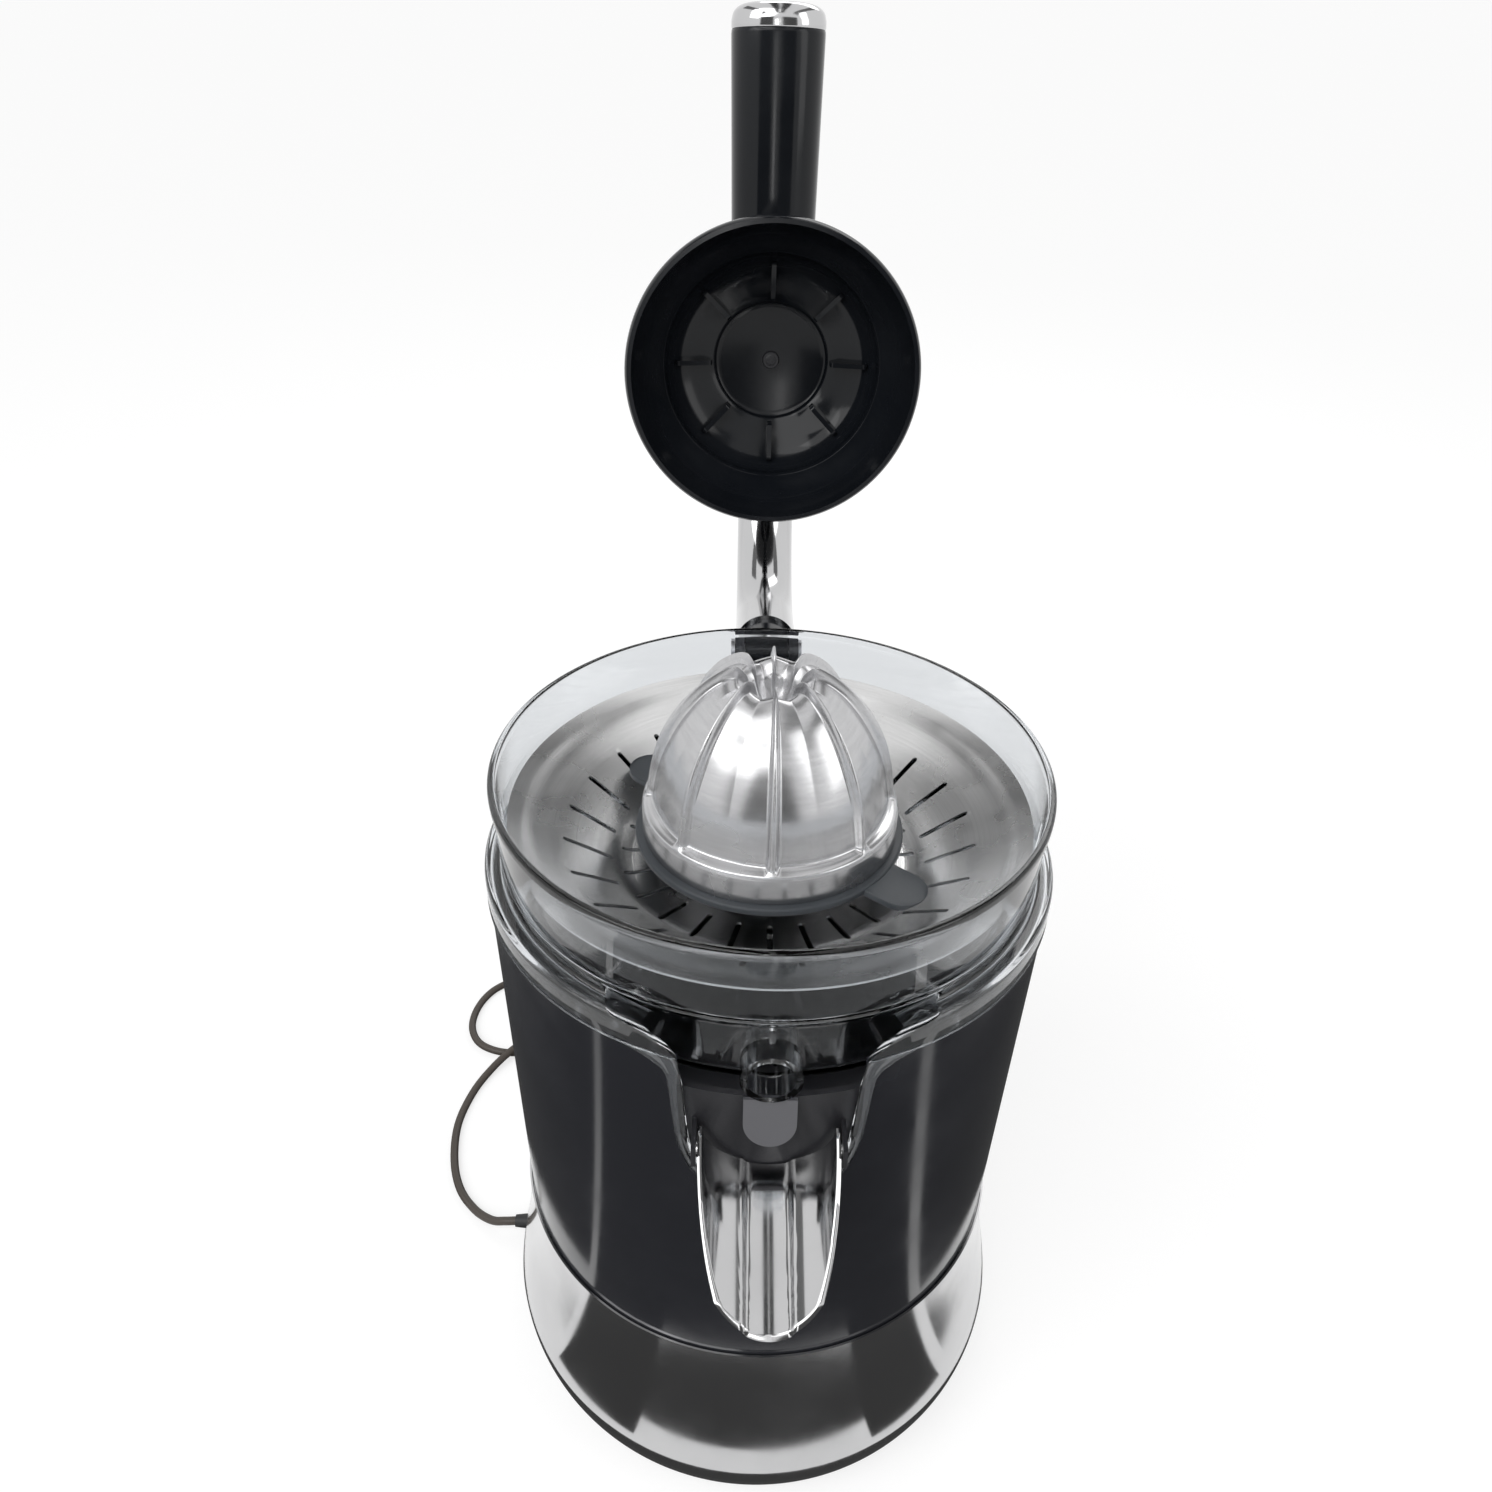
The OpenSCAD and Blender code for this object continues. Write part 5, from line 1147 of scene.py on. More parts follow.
    def build(self, shop: Workshop) -> None:
        """Makes the bowl as one clear solid.

        Args:
            shop: Gives it its finish and repeats the resting ribs.
        """
        bowl = lathe("clear_bowl", self.outline(), steps=256)
        carve(bowl, self.opening(), Carving.CUT)
        carve(bowl, self.apron(), Carving.JOIN)
        foot_r, foot_z, back_y = self.chimney_r - 1, self.basin_z + 1, -(self.basin_r - 1)
        rib = prism("rib", rounded([(foot_r, foot_z, 0), (self.rib_out_r, foot_z, 0),
                                    (self.rib_out_r, self.rib_top_z, 2.0), (foot_r, self.rib_top_z, 0)]),
                    -self.rib_half_t, self.rib_half_t)
        carve(bowl, shop.repeat(rib, self.ribs, "clear_plastic", first_deg=-90.0), Carving.JOIN)
        carve(bowl, self.tube(self.nozzle_r, back_y, self.nozzle_mouth_y), Carving.JOIN)
        w, low, high = self.guide_half_t, self.nozzle_z + 4, self.guide_top_z
        guide = prism("guide", [(-w, low), (w, low), (w, high), (-w, high)], self.guide_front_y, back_y)
        carve(bowl, guide, Carving.JOIN)
        bore_y = -(self.basin_r - 3 * self.wall)
        bore = self.tube(self.nozzle_r - self.wall, bore_y, self.nozzle_mouth_y - 1)
        carve(bowl, bore, Carving.CUT)
        shade(bowl, self.sharp_deg)
        shop.dress(bowl, "clear_plastic", Body.HOUSING, "juice_bowl")


@dataclass(frozen=True)
class StrainerDish:
    """The pressed steel strainer with two rings of slots."""

    radius: float = 85.2
    low_z: float = 238.7
    depth: float = 22.0
    sheet: float = 0.8
    hole_r: float = 16.8
    slot_count: int = 24
    slot_w: float = 1.9
    outer_slot: Pair = (0.615, 0.8)
    inner_slot: Pair = (0.43, 0.58)
    edge_round: float = 0.05
    line: Line = (
        (1, 1), (0.985, 0.965), (0.955, 0.89), (0.9, 0.74), (0.8, 0.53), (0.7, 0.3), (0.61, 0.085),
        (0.57, 0.02), (0.54, 0))

    def slots(self, shop: Workshop, shares: Pair, first_deg: float) -> Piece:
        """The cutting solids of one ring of slots.

        Args:
            shop: Repeats them round the axis.
            shares: Where a slot begins and ends, as shares of the dish's radius.
            first_deg: The first slot's angle.

        Returns:
            All the ring's cutters as one piece.
        """
        half, quarter = self.slot_w / 2, math.pi / 2
        ends = ((self.radius * shares[1] - half, -quarter), (self.radius * shares[0] + half, quarter))
        turn = quarter / 4
        line = [(middle + half * math.cos(first + turn * k), half * math.sin(first + turn * k))
                for middle, first in ends for k in range(9)]
        cutter = prism("slots", line, self.low_z - 4, self.low_z + self.depth + 4, lying)
        return shop.repeat(cutter, self.slot_count, "strainer_steel", first_deg=first_deg)

    def build(self, shop: Workshop) -> None:
        """Makes the strainer.

        Args:
            shop: Gives it its finish and repeats the slots.
        """
        dish = [(self.radius * a, self.low_z + self.depth * b) for a, b in smooth_line(self.line, steps=6)]
        under = [(r, z - self.sheet) for r, z in reversed(dish)]
        edge = [(self.radius - self.edge_round * a, dish[0][1] - self.sheet * b)
                for a, b in ((1, 0.7), (0.4, 0.3))]
        hole = [(self.hole_r, self.low_z), (self.hole_r, self.low_z - self.sheet)]
        outline = dish[:-1] + [(dish[-1][0], self.low_z)] + hole + under + edge
        strainer = lathe("steel_strainer", outline, steps=240)
        for shares, first_deg in ((self.inner_slot, -90.0), (self.outer_slot, 180 / self.slot_count - 90.0)):
            carve(strainer, self.slots(shop, shares, first_deg), Carving.CUT)
        shop.dress(strainer, "strainer_steel", Body.HOUSING, "strainer")


@dataclass(frozen=True)
class ReamerCrown:
    """The ribbed metal cone that the fruit is pressed on."""

    radius: float = 42.0
    low_z: float = 251.7
    band_z: float = 260.7
    crown_h: float = 50.0
    ribs: int = 8
    steps: int = 64
    ridge_share: float = 0.1
    ridge_height: float = 0.7
    facet_power: float = 1.2
    ridge_power: int = 4
    rib_line: Line = (
        (1, 0), (0.99, 0.028), (0.975, 0.045), (0.965, 0.06), (0.958, 0.09), (0.95, 0.15), (0.915, 0.32),
        (0.85, 0.5), (0.74, 0.68), (0.59, 0.84), (0.43, 0.95), (0.31, 1.0), (0.25, 0.985), (0.2, 0.93),
        (0.17, 0.82), (0.13, 0.72))
    panel_line: Line = (
        (1, 0), (0.99, 0.026), (0.965, 0.036), (0.925, 0.044), (0.897, 0.055), (0.886, 0.11), (0.845, 0.29),
        (0.765, 0.46), (0.655, 0.63), (0.52, 0.78), (0.395, 0.87), (0.3, 0.9), (0.25, 0.885), (0.2, 0.84),
        (0.17, 0.78), (0.13, 0.72))
    cavity: Line = (
        (0.945, -0.18), (0.945, -0.04), (0.84, 0.07), (0.8, 0.24), (0.71, 0.44), (0.59, 0.6), (0.43, 0.72),
        (0.26, 0.73), (0.21, 0.66), (0.004, 0.66))
    band_line: Line = ((0.4, 0.0), (0.1, 0.15), (0.0, 0.5), (0.0, 6.0))

    def ring(self, rib: Sequence[float], panel: Sequence[float]) -> list[Point]:
        """One ring of points between a rib's height and a panel's height.

        Args:
            rib: Shares of radius and crown height on a rib.
            panel: The same between two ribs.

        Returns:
            The ring's points.
        """
        made: list[Point] = []
        count, half = self.ribs * self.steps, self.steps / 2
        for k in range(count):
            off = abs((k + half) % self.steps - half) / half
            ridge = math.exp(-(off / self.ridge_share) ** self.ridge_power)
            on_rib = self.ridge_height * ridge + (1 - self.ridge_height) * (1 - off) ** self.facet_power
            r = self.radius * (rib[0] * on_rib + panel[0] * (1 - on_rib))
            z = self.band_z + self.crown_h * (rib[1] * on_rib + panel[1] * (1 - on_rib))
            made.append(polar(r, 2 * math.pi * k / count - math.pi / 2, z))
        return made

    def build(self, shop: Workshop) -> None:
        """Makes the reamer.

        Args:
            shop: Gives it its finish.
        """
        band = [((self.radius - inset) / self.radius, (self.low_z + rise - self.band_z) / self.crown_h)
                for inset, rise in self.band_line]
        rows = [self.ring(share, share) for share in [*reversed(self.cavity), *band]]
        ribs, panels = smooth_line(self.rib_line, steps=5), smooth_line(self.panel_line, steps=5)
        rows += [self.ring(a, b) for a, b in zip(ribs, panels)]
        shop.dress(solid("ribbed_reamer", rows, sharp_deg=40.0), "reamer_metal", Body.REAMER, "reamer_cone")


@dataclass(frozen=True)
class PulpStirrer:
    """The ring below the reamer with its two sweeping wings."""

    low_z: float = 248.7
    top_z: float = 251.7
    in_r: float = 36.0
    out_r: float = 44.4
    wing_in_r: float = 38.0
    wing_r: float = 60.0
    wing_w: float = 17.0
    wing_deg: float = -38.0
    hollow_r: float = 43.0
    hollow_run: float = 5.0
    hollow_deep: float = 0.9
    floor_z: float = 246.9
    floor_r: float = 53.0
    floor_rise: float = 0.5
    top_gap: float = 0.5
    low_gap: float = 0.2
    edge_drop: float = 0.5
    edge_rise: float = 0.4
    edge_power: int = 8
    length_steps: int = 18
    width_steps: int = 14
    blade: Corners = ((43.0, 245.2, 1.0), (56.0, 247.6, 1.5), (57.5, 249.2, 0), (43.0, 249.2, 0))
    blade_half_t: float = 1.0

    def wing(self, turn_deg: float) -> Piece:
        """One wing: a rounded plate with a shallow hollow and a turned-down front edge.

        Args:
            turn_deg: Its angle round the axis.

        Returns:
            The wing.
        """
        rows: list[list[Point]] = []
        tip_r = self.wing_w / 2
        for i in range(self.length_steps + 1):
            t = math.sin(i / self.length_steps * math.pi / 2)
            x = self.wing_in_r + (self.wing_r - self.wing_in_r) * t
            over = max(0.0, (x - (self.wing_r - tip_r)) / tip_r)
            half = max(0.5, tip_r * math.sqrt(max(0.0, 1 - over * over)))
            floor = self.floor_z + max(0.0, x - self.floor_r) * self.floor_rise
            hollow = self.hollow_deep * min(1.0, max(0.0, x - self.hollow_r) / self.hollow_run)
            top: list[Point] = []
            low: list[Point] = []
            for k in range(self.width_steps + 1):
                v = -1 + 2 * k / self.width_steps
                dip, edge = hollow * (1 - v * v), abs(v) ** self.edge_power
                y = half * math.sin(v * math.pi / 2)
                top.append((x, y, self.top_z - self.top_gap - dip - self.edge_drop * edge))
                under = max(self.low_z - self.low_gap * (1 + dip), floor)
                low.append((x, y, under + self.edge_rise * edge))
            rows.append(top + low[::-1])
        return turned(solid("wing", rows), turn_deg)

    def build(self, shop: Workshop) -> None:
        """Makes the stirrer.

        Args:
            shop: Gives it its finish.
        """
        outline = rounded([(self.in_r, self.low_z, 0.4), (self.out_r, self.low_z, 1.2),
                           (self.out_r, self.top_z, 0.9), (self.in_r, self.top_z, 0.3)])
        ring = lathe("pulp_stirrer_ring", outline, steps=160)
        for turn in (self.wing_deg, self.wing_deg + 180):
            carve(ring, self.wing(turn), Carving.JOIN)
        blade = prism("blade", rounded(self.blade), -self.blade_half_t, self.blade_half_t)
        carve(ring, turned(blade, self.wing_deg), Carving.JOIN)
        shop.dress(ring, "stirrer_grey", Body.REAMER, "pulp_stirrer")


@dataclass(frozen=True)
class TippingSpout:
    """The chromed trough that can be tipped up."""

    half_w: float = 19.5
    sheet: float = 1.2
    deep: float = 15.0
    slope_deg: float = 13.0
    back_y: float = -89.84
    root_y: float = -91.6
    tip_y: float = -137.6
    root_top_z: float = 208.6
    edge_slope: float = 0.5309
    channel_half_w: float = 7.4
    channel_deep: float = 1.2
    peg_y: float = -94.1
    peg_z: float = 205.1
    peg_r: float = 2.0
    peg_end_x: float = 22.2
    channel_edge: float = 1.5
    lip_rise: float = 0.25
    across_steps: int = 56
    along_steps: int = 64

    def top_line(self, y: float) -> float:
        """Height of the trough's axis plane at a distance from the body."""
        return self.root_top_z - math.tan(math.radians(self.slope_deg)) * (self.back_y - y)

    def edge(self, y: float) -> float:
        """Height of the side edges at a distance from the body."""
        return self.root_top_z - self.edge_slope * max(0.0, self.root_y - y)

    def row(self, y: float, grow: float) -> list[Point]:
        """Points across the trough at one place.

        Args:
            y: The place.
            grow: How far this skin lies outside the inner one.

        Returns:
            The points from the left edge to the right edge.
        """
        width = self.half_w + grow
        depth = (self.deep + grow) / math.cos(math.radians(self.slope_deg))
        up = min(1.0, max(0.0, (self.top_line(y) - self.edge(y)) / depth))
        front = y - (self.tip_y + self.half_w + self.sheet)
        limit = math.sqrt(max(0.04, width * width - front * front)) if front < 0 else width
        reach = min(width * math.sqrt(1 - up * up), limit)
        made: list[Point] = []
        for k in range(self.across_steps + 1):
            x = reach * math.sin(math.pi * (k / self.across_steps - 0.5))
            t = min(1.0, max(0.0, (self.channel_half_w - abs(x)) / self.channel_edge))
            groove = t * t * (3 - 2 * t) * self.channel_deep
            trough = depth * math.sqrt(max(0.0, 1 - (x / width) ** 2))
            made.append((x, y, self.top_line(y) - trough - groove))
        return made

    def build(self, shop: Workshop) -> None:
        """Makes the spout with its pegs.

        Args:
            shop: Gives it its finish.
        """
        rows: list[list[Point]] = []
        end_y = self.tip_y + 0.01
        for i in range(self.along_steps + 1):
            t = math.sin(math.pi / 2 * i / self.along_steps)
            inner = self.row(self.back_y + (end_y + self.sheet - self.back_y) * t, 0.0)
            outer = self.row(self.back_y + (end_y - self.back_y) * t, self.sheet)
            lip = [tuple((Vector(a) + Vector(b)) / 2 + Vector((0, 0, self.lip_rise)))
                   for a, b in ((inner[-1], outer[-1]), (outer[0], inner[0]))]
            rows.append(inner + [lip[0]] + outer[::-1] + [lip[1]])
        mesh = bmesh.new()
        grid(mesh, rows, wrap=True, caps=True)
        for side in (-1, 1):
            path = [(side * x, self.peg_y, self.peg_z) for x in (self.half_w + 0.4, self.peg_end_x)]
            grid(mesh, tube_rows(path, self.peg_r - 0.02, sides=24), wrap=True, caps=True)
        shop.dress(object_from("chromed_spout", mesh, sharp_deg=38.0), "chrome_plate", Body.SPOUT, "spout")


@dataclass(frozen=True)
class PressDome:
    """The dome that presses the fruit, with its inner step and ribs."""

    radius: float = 56.5
    mouth_z: float = 277.0
    height: float = 48.0
    rib_count: int = 8
    hole_r: float = 1.64
    outside: Line = (
        (0.15, 1.0), (0.3, 0.995), (0.5, 0.955), (0.72, 0.845), (0.88, 0.64), (0.965, 0.38), (0.993, 0.16),
        (0.998, 0.07))
    lip: Line = ((0.99, 0.02), (0.978, 0.0))
    inside: Line = (
        (0.95, 0.0), (0.942, 0.06), (0.925, 0.15), (0.88, 0.3), (0.765, 0.46), (0.752, 0.475), (0.742, 0.5),
        (0.735, 0.56), (0.68, 0.64), (0.6, 0.71), (0.42, 0.8), (0.405, 0.83), (0.4, 0.88), (0.36, 0.9))
    step_share: float = 0.66
    rib: Corners = ((0.42, 0.5, 1.5), (0.68, -3.2, 1.5), (0.68, 4.5, 0), (0.42, 8.5, 0))
    rib_half_t: float = 0.9

    def place(self, share: Sequence[float]) -> Pair:
        """A radius and a height from their shares."""
        return self.radius * share[0], self.mouth_z + self.height * share[1]

    def build(self, shop: Workshop) -> None:
        """Makes the dome and its ribs.

        Args:
            shop: Gives them their finish, repeats the ribs and knows the lever's place.
        """
        outside = [self.place(p) for p in smooth_line(self.outside, steps=6)]
        lip = [self.place(p) for p in self.lip]
        inside = [self.place(p) for p in smooth_line(self.inside, steps=6)]
        outline = [(self.hole_r, outside[0][1]), *outside, *lip, *inside, (self.hole_r, inside[-1][1])]
        dome = shop.lever.lift(lathe("press_dome_shell", outline, steps=224))
        shop.dress(dome, "black_gloss", Body.ARM, "press_dome")
        step_z = self.mouth_z + self.height * self.step_share
        corners = rounded([(self.radius * a, step_z + b, fillet) for a, b, fillet in self.rib])
        rib = prism("press_dome_ribs", corners, -self.rib_half_t, self.rib_half_t)
        ribs = shop.lever.lift(shop.repeat(rib, self.rib_count, "black_gloss"))
        shop.dress(ribs, "black_gloss", Body.ARM)


@dataclass(frozen=True)
class HandleGrip:
    """The flattened round grip and its chromed end cap."""

    axis_z: float = 343.0
    rear_y: float = -22.0
    length: float = 105.0
    cap_l: float = 9.0
    root_half_w: float = 16.6
    end_half_w: float = 18.2
    flatness: float = 0.86
    roundness: float = 0.85
    sides: int = 96
    root_line: Line = ((0.0, 0.86), (0.006, 0.92), (0.02, 0.975), (0.05, 1.0))
    end_line: Line = ((0.985, 1.0), (0.997, 0.992), (1.0, 0.98))
    cap_line: Line = (
        (0.0, 0.975), (0.03, 0.995), (0.2, 1.0), (0.4, 0.992), (0.66, 0.95), (0.86, 0.83), (0.96, 0.66),
        (0.99, 0.5), (1.0, 0.25), (1.0, 0.02))

    def section(self, y: float, half_w: float) -> list[Point]:
        """Points round the grip at one place.

        Args:
            y: The distance along the grip.
            half_w: Half its width there.

        Returns:
            The points.
        """
        made: list[Point] = []
        for k in range(self.sides):
            a = 2 * math.pi * k / self.sides
            x = half_w * math.copysign(abs(math.cos(a)) ** self.roundness, math.cos(a))
            made.append((x, y, self.axis_z + half_w * self.flatness * math.sin(a)))
        return made

    def loft(self, name: str, sections: Sequence[Pair]) -> Piece:
        """A closed solid through sections, each a distance along the grip and a half width."""
        return solid(name, [self.section(y, w) for y, w in sections], sharp_deg=50.0)

    def build(self, shop: Workshop) -> None:
        """Makes the grip and the cap.

        Args:
            shop: Gives them their finish and knows the lever's place.
        """
        end_y = self.rear_y - self.length + self.cap_l
        middle = [(0.05 + 0.095 * k, 1.0) for k in range(1, 10)]
        sections: list[Pair] = []
        for share, grow in [*self.root_line, *middle, *self.end_line]:
            half = (self.root_half_w + (self.end_half_w - self.root_half_w) * share) * grow
            sections.append((self.rear_y + (end_y - self.rear_y) * share, half))
        grip = shop.lever.lift(self.loft("lever_grip", sections))
        shop.dress(grip, "black_gloss", Body.ARM, "handle_grip")
        cap_line = smooth_line(self.cap_line, steps=4)
        line = [(end_y - self.cap_l * a, self.end_half_w * b) for a, b in cap_line]
        cap = shop.lever.lift(self.loft("lever_cap", line))
        shop.dress(cap, "chrome_plate", Body.ARM, "handle_cap")


@dataclass(frozen=True)
class MainsCord:
    """The cord on the table: a loose run, a tied coil and a tail that runs to the plug."""

    diameter: float = 3.8
    pitch: float = 4.75
    lift: float = 0.7
    coil_r: float = 27.5
    turns: float = 2.25
    centre: Point = (-42.0, 165.0, 0.0)
    run: tuple[Point, ...] = (
        (-108, 18, 7), (-113, 18.2, 6.3), (-120, 20.5, 3.6), (-129, 27, 1.95), (-138, 38, 1.95),
        (-144, 54, 1.95), (-146.5, 75, 1.95), (-143, 95, 1.95), (-136, 110, 3), (-127, 121, 5.4),
        (-117, 131, 6.2), (-107, 142, 5), (-101, 155, 2.6), (-103, 168, 1.95), (-115, 177, 1.95),
        (-131, 177, 1.95), (-144, 169, 1.95), (-151, 156, 1.95), (-152, 141, 1.95), (-146, 129, 1.95),
        (-134, 123, 1.95), (-120, 123, 1.95), (-106, 127, 1.95), (-92, 132, 1.95), (-78, 136, 2.2),
        (-64, 137.5, 2.6), (-45.8, 137.5, 2.6))
    tail: tuple[Point, ...] = (
        (-38.2, 137.5, 7.35), (-31, 137.5, 6), (-22, 138.5, 3.4), (-11, 142, 1.95), (-1, 146.5, 2.4),
        (8, 149.5, 5.4), (16, 150, 6.9))

    def coil(self) -> list[Vector]:
        """The coil's line: in along the table, up a layer and out again.

        Returns:
            Its points.
        """
        steps, rise = 48, 0.5
        total = 2 * self.turns + rise
        made: list[Vector] = []
        for i in range(int(total * steps) + 1):
            t = i / steps
            inward = min(t, self.turns, total - t)
            layer = min(1.0, max(0.0, (t - self.turns) / rise))
            height = self.diameter / 2 + self.lift + self.pitch * layer
            spoke = polar(self.coil_r - self.pitch * inward, 2 * math.pi * t - math.pi / 2, height)
            made.append(Vector(self.centre) + Vector(spoke))
        return made

    def line(self) -> list[Vector]:
        """The whole cord's line from the base to the plug."""
        return smooth_line(self.run, steps=6) + self.coil() + smooth_line(self.tail, steps=6)

    def build(self, shop: Workshop, plug: Piece) -> None:
        """Makes the cord.

        Args:
            shop: Gives it its finish.
            plug: The plug at its end; not used.
        """
        line = self.line()
        cord = solid("mains_cord", tube_rows(line, self.diameter / 2, sides=20), sharp_deg=60.0)
        shop.dress(cord, "cord_brown", Body.HOUSING, "power_cord", "cord_coil")


@dataclass(frozen=True)
class MainsPlug:
    """The flat two-pin plug."""

    at: Point = (16.0, 150.0, 6.9)
    length: float = 36.0
    width: float = 35.0
    height: float = 13.6
    corners: Corners = (
        (0, -0.16, 1.0), (0.3, -0.2, 8.0), (0.62, -0.42, 8.0), (0.8, -0.5, 3.0), (1, -0.5, 2.5))
    edge_r: float = 1.8

    def build(self, shop: Workshop) -> Piece:
        """Makes the plug.

        Args:
            shop: Gives it its finish.

        Returns:
            The plug.
        """
        half = [(self.length * a, self.width * b, fillet) for a, b, fillet in self.corners]
        outline = rounded(half + [(a, -b, fillet) for a, b, fillet in reversed(half)], steps=5)
        plug = moved(prism("flat_plug", outline, -self.height / 2, self.height / 2, lying), self.at)
        softened(plug, self.edge_r, segments=4, angle_deg=50.0)
        return shop.dress(plug, "plug_black", Body.HOUSING, "mains_plug")


@dataclass(frozen=True)
class CrossHead:
    """A domed screw head with a cross recess, pointing along -Z."""

    radius: float
    height: float
    line: Line = (
        (0, -1), (0.35, -0.98), (0.7, -0.82), (0.93, -0.45), (1, -0.1), (1, 0), (0, 0))
    recess: Line = ((-0.55, -1.3), (0.55, -1.3), (0.3, -0.35), (-0.3, -0.35))
    recess_half_w: float = 0.11

    def scaled(self, shares: Line) -> list[Pair]:
        """An outline from shares of the head's radius and height."""
        return [(self.radius * a, self.height * b) for a, b in shares]

    def make(self, name: str) -> Piece:
        """Makes one head at the origin, with its seat at z = 0.

        Args:
            name: The piece's name.

        Returns:
            The head.
        """
        half_w = self.radius * self.recess_half_w
        head = lathe(name, self.scaled(self.line), steps=48, closed=False)
        for turn in (0.0, 90.0):
            arm = prism("arm", self.scaled(self.recess), -half_w, half_w)
            carve(head, turned(arm, turn), Carving.CUT)
        return head


@dataclass(frozen=True)
class VisibleScrews:
    """Screw heads that can be seen: under the base and inside the press dome."""

    ring_r: float = 78.0
    count: int = 4
    cover_z: float = 1.8
    base_head: CrossHead = CrossHead(3.1, 1.5)
    sunk: float = 0.1
    dome_head: CrossHead = CrossHead(3.5, 1.9)
    dome_seat_z: float = 320.2

    def build(self, shop: Workshop) -> None:
        """Makes the heads.

        Args:
            shop: Gives them their finish, repeats the base's screws and knows the lever's place.
        """
        seat_z = self.cover_z + self.base_head.height + self.sunk
        base = moved(self.base_head.make("base_screw_heads"), (0, 0, seat_z))
        shop.dress(shop.repeat(base, self.count, "screw_steel", self.ring_r), "screw_steel", Body.HOUSING)
        dome = moved(self.dome_head.make("dome_screw_head"), (0, 0, self.dome_seat_z))
        shop.dress(shop.lever.lift(dome), "black_matte", Body.ARM)


@dataclass(frozen=True)
class PhotoCamera:
    """The camera of the photo."""

    place: Point = (-0.0122, -0.3183, 0.493)
    turn_deg: float = -2.2
    yaw_deg: float = -1.51
    pitch_deg: float = 33.57
    roll_deg: float = 1.41
    lens_mm: float = 28.9
    sensor_mm: float = 36.0
    near: float = 0.01

    def build(self) -> None:
        """Sets the camera up."""
        a, w, p, o = (math.radians(v) for v in (self.turn_deg, self.yaw_deg, self.pitch_deg, self.roll_deg))
        ahead, side = Vector((-math.sin(a), math.cos(a), 0)), Vector((math.cos(a), math.sin(a), 0))
        level = ahead * math.cos(w) + side * math.sin(w)
        right = -ahead * math.sin(w) + side * math.cos(w)
        upright = Vector((0, 0, 1))
        forward = level * math.cos(p) - upright * math.sin(p)
        up = level * math.sin(p) + upright * math.cos(p)
        x_axis = right * math.cos(o) + up * math.sin(o)
        y_axis = -right * math.sin(o) + up * math.cos(o)
        data = bpy.data.cameras.new("camera")
        data.sensor_width, data.lens, data.clip_start = self.sensor_mm, self.lens_mm, self.near
        camera = added("camera", data)
        turn = Matrix((x_axis, y_axis, -forward)).transposed().to_4x4()
        camera.matrix_world = Matrix.Translation(self.place) @ turn
        bpy.context.scene.camera = camera


@dataclass(frozen=True)
class Softbox:
    """One soft area light, aimed at a point."""

    name: str
    place: Point
    aim: Point
    size: Pair
    power: float

    def build(self) -> None:
        """Adds the light."""
        data = bpy.data.lights.new(self.name, "AREA")
        data.shape, data.size, data.size_y = "RECTANGLE", *self.size
        data.energy = self.power
        toward = Vector(self.aim) - Vector(self.place)
        turn = toward.to_track_quat("-Z", "Y").to_matrix().to_4x4()
        added(self.name, data).matrix_world = Matrix.Translation(self.place) @ turn


def glowing_bench(name: str, base: float, glow: float) -> ShaderBench:
    """Starts a dull grey finish that also gives some light.

    Args:
        name: The finish's name.
        base: How bright its own grey is.
        glow: How bright its light is.

    Returns:
        The finish's bench.
    """
    bench = ShaderBench(name)
    bench.plain(Base_Color=(base, base, base, 1.0), Roughness=1.0, Specular_IOR_Level=0.0,
                Emission_Color=(glow, glow, glow, 1.0), Emission_Strength=1.0)
    return bench


@dataclass(frozen=True)
class DarkCard:
    """A dark card outside the picture, which only shows as a dark band in shiny surfaces."""

    name: str
    low: Point
    high: Point
    tone: float = 0.06

    def faces(self, mesh: Mesh) -> None:
        """Adds the card's face, level or upright."""
        (x0, y0, z0), (x1, y1, z1) = self.low, self.high
        grid(mesh, [[(x0, y0, z0), (x1, y0, z0)], [(x0, y1, z1), (x1, y1, z1)]])

    def build(self) -> None:
        """Hangs the card up, where only reflections find it."""
        mesh = bmesh.new()
        self.faces(mesh)
        card = object_from(self.name, mesh)
        card.data.materials.append(glowing_bench(self.name, 0.0, self.tone).material)
        card.visible_camera = card.visible_diffuse = card.visible_shadow = False
        card.visible_transmission = card.visible_volume_scatter = False


@dataclass(frozen=True)
class DarkRing(DarkCard):
    """A dark card like a part of a ring around the foot; its corners are radius, angle and height."""

    steps: int = 48

    def faces(self, mesh: Mesh) -> None:
        """Adds the ring's faces."""
        start, turn = math.radians(self.low[1]), math.radians(self.high[1] - self.low[1]) / self.steps
        grid(mesh, [[polar(r, start + turn * k, height) for k in range(self.steps + 1)]
                    for r, _, height in (self.low, self.high)])


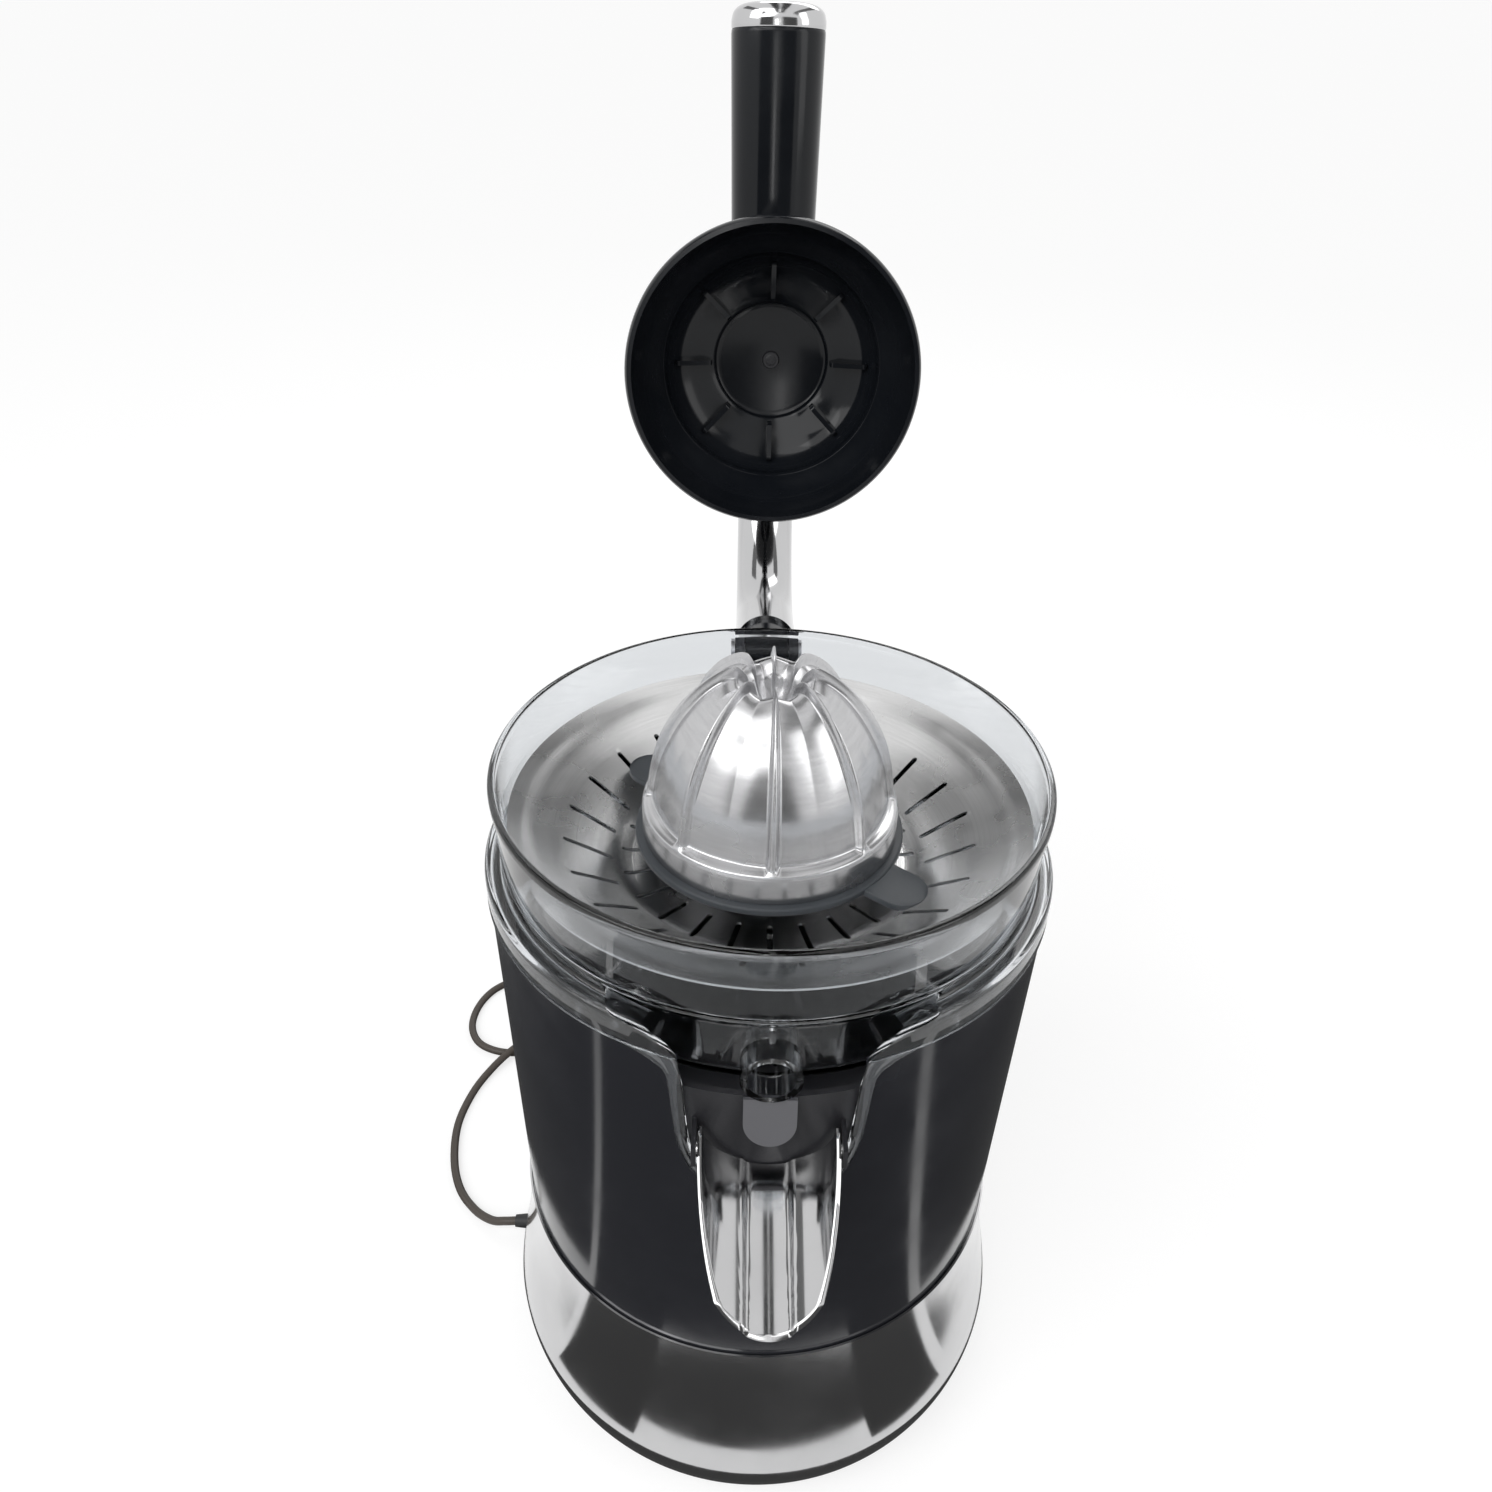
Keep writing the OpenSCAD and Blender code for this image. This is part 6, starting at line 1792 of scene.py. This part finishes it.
@dataclass(frozen=True)
class Studio:
    """A pale floor, an even surrounding, a soft sun, soft boxes and dark cards."""

    floor_tone: float = 0.4
    floor_lift: float = 0.68
    floor_reach: float = 40000.0
    surround: float = 0.45
    sun: float = 1.1
    sun_deg: float = 50.0
    sun_turn: Point = (38.0, -28.0, 0.0)
    lights: tuple[Softbox, ...] = (
        Softbox("key", place=(-0.9, -0.5, 1.2), aim=(0.0, 0.0, 0.25), size=(0.7, 0.9), power=4.0),
        Softbox("fill", place=(1.1, -0.6, 0.9), aim=(0.0, 0.0, 0.2), size=(0.5, 0.9), power=2.2),
        Softbox("back", place=(0.3, 1.1, 1.2), aim=(0.0, 0.0, 0.3), size=(0.9, 0.4), power=2.5),
        Softbox("streak", place=(-0.05, -1.5, 0.68), aim=(0.0, 0.0, 0.45), size=(0.06, 0.5), power=0.5))
    cards: tuple[DarkCard, ...] = (
        DarkCard("left_card", (-1550.0, -1800.0, 1900.0), (-880.0, 1600.0, 1900.0), tone=0.2),
        DarkCard("middle_card", (-130.0, -1800.0, 1900.0), (20.0, 1600.0, 1900.0)),
        DarkCard("streak_card", (60.0, -1800.0, 1900.0), (230.0, 1600.0, 1900.0)),
        DarkCard("right_card", (930.0, -1800.0, 1900.0), (1550.0, 1600.0, 1900.0), tone=0.2),
        DarkCard("front_left_card", (-1500.0, -2000.0, 150.0), (-260.0, -2000.0, 1500.0), tone=0.1),
        DarkCard("front_right_card", (170.0, -2000.0, 150.0), (1400.0, -2000.0, 1500.0), tone=0.1),
        DarkRing("near_ring", (90.0, -180.0, 1.5), (110.0, 180.0, 1.5)),
        DarkRing("left_ring", (122.0, -151.0, 1.5), (300.0, -122.0, 1.5)),
        DarkRing("front_ring", (137.0, -122.0, 1.5), (300.0, -58.0, 1.5)),
        DarkRing("side_ring", (122.0, -58.0, 1.5), (300.0, -33.0, 1.5)),
        DarkRing("right_ring", (132.0, -28.0, 1.5), (300.0, 60.0, 1.5)),
        DarkRing("back_ring", (138.0, 60.0, 1.5), (300.0, 206.0, 1.5)))

    @staticmethod
    def seen_white(tree: Tree, low: float, high: float, target: Socket) -> None:
        """Feeds a strength that is higher for rays that show the background.

        Args:
            tree: The node tree.
            low: The strength for the light on the object.
            high: The strength where the camera, a mirror or clear plastic shows it.
            target: The strength's socket.
        """
        path = tree.nodes.new("ShaderNodeLightPath")
        value = path.outputs["Is Camera Ray"]
        for name in ("Is Glossy Ray", "Is Transmission Ray"):
            value = maths(tree, "MAXIMUM", value, path.outputs[name])
        tree.links.new(map_range(tree, value, To_Min=low, To_Max=high), target)

    def lay_floor(self) -> None:
        """Adds the floor, which keeps the shadow and shows white."""
        mesh, reach = bmesh.new(), self.floor_reach
        grid(mesh, [[(x, y, 0) for x in (-reach, reach)] for y in (-reach, reach)])
        floor = object_from("floor", mesh)
        bench = glowing_bench("floor", self.floor_tone, 1.0)
        self.seen_white(bench.tree, 0.0, self.floor_lift, bench.shader.inputs["Emission Strength"])
        floor.data.materials.append(bench.material)

    def build(self) -> None:
        """Sets floor, world, lights and output up."""
        self.lay_floor()
        for light in self.lights:
            light.build()
        for card in self.cards:
            card.build()
        data = bpy.data.lights.new("sun", "SUN")
        data.energy, data.angle = self.sun, math.radians(self.sun_deg)
        added("sun", data).rotation_euler = tuple(math.radians(v) for v in self.sun_turn)
        scene = bpy.context.scene
        scene.world = bpy.data.worlds.new("surround")
        scene.world.use_nodes = True
        tree = scene.world.node_tree
        ground = tree.nodes["Background"]
        ground.inputs["Color"].default_value = (1.0, 1.0, 1.0, 1.0)
        self.seen_white(tree, self.surround, 1.0, ground.inputs["Strength"])
        scene.view_settings.view_transform = "Standard"


def main() -> None:
    """Builds the scene: camera and cord first, then every piece, then the studio."""
    logging.basicConfig(level=logging.INFO, format="%(message)s")
    PhotoCamera().build()
    shop = Workshop()
    MainsCord().build(shop, MainsPlug().build(shop))
    for part in (ChromedBase(), JuiceBowl(), StrainerDish(), ReamerCrown(), PulpStirrer(), TippingSpout(),
                 PressDome(), HandleGrip(), VisibleScrews()):
        part.build(shop)
    shop.dress_nodes()
    Studio().build()


if __name__ == "__main__":
    main()
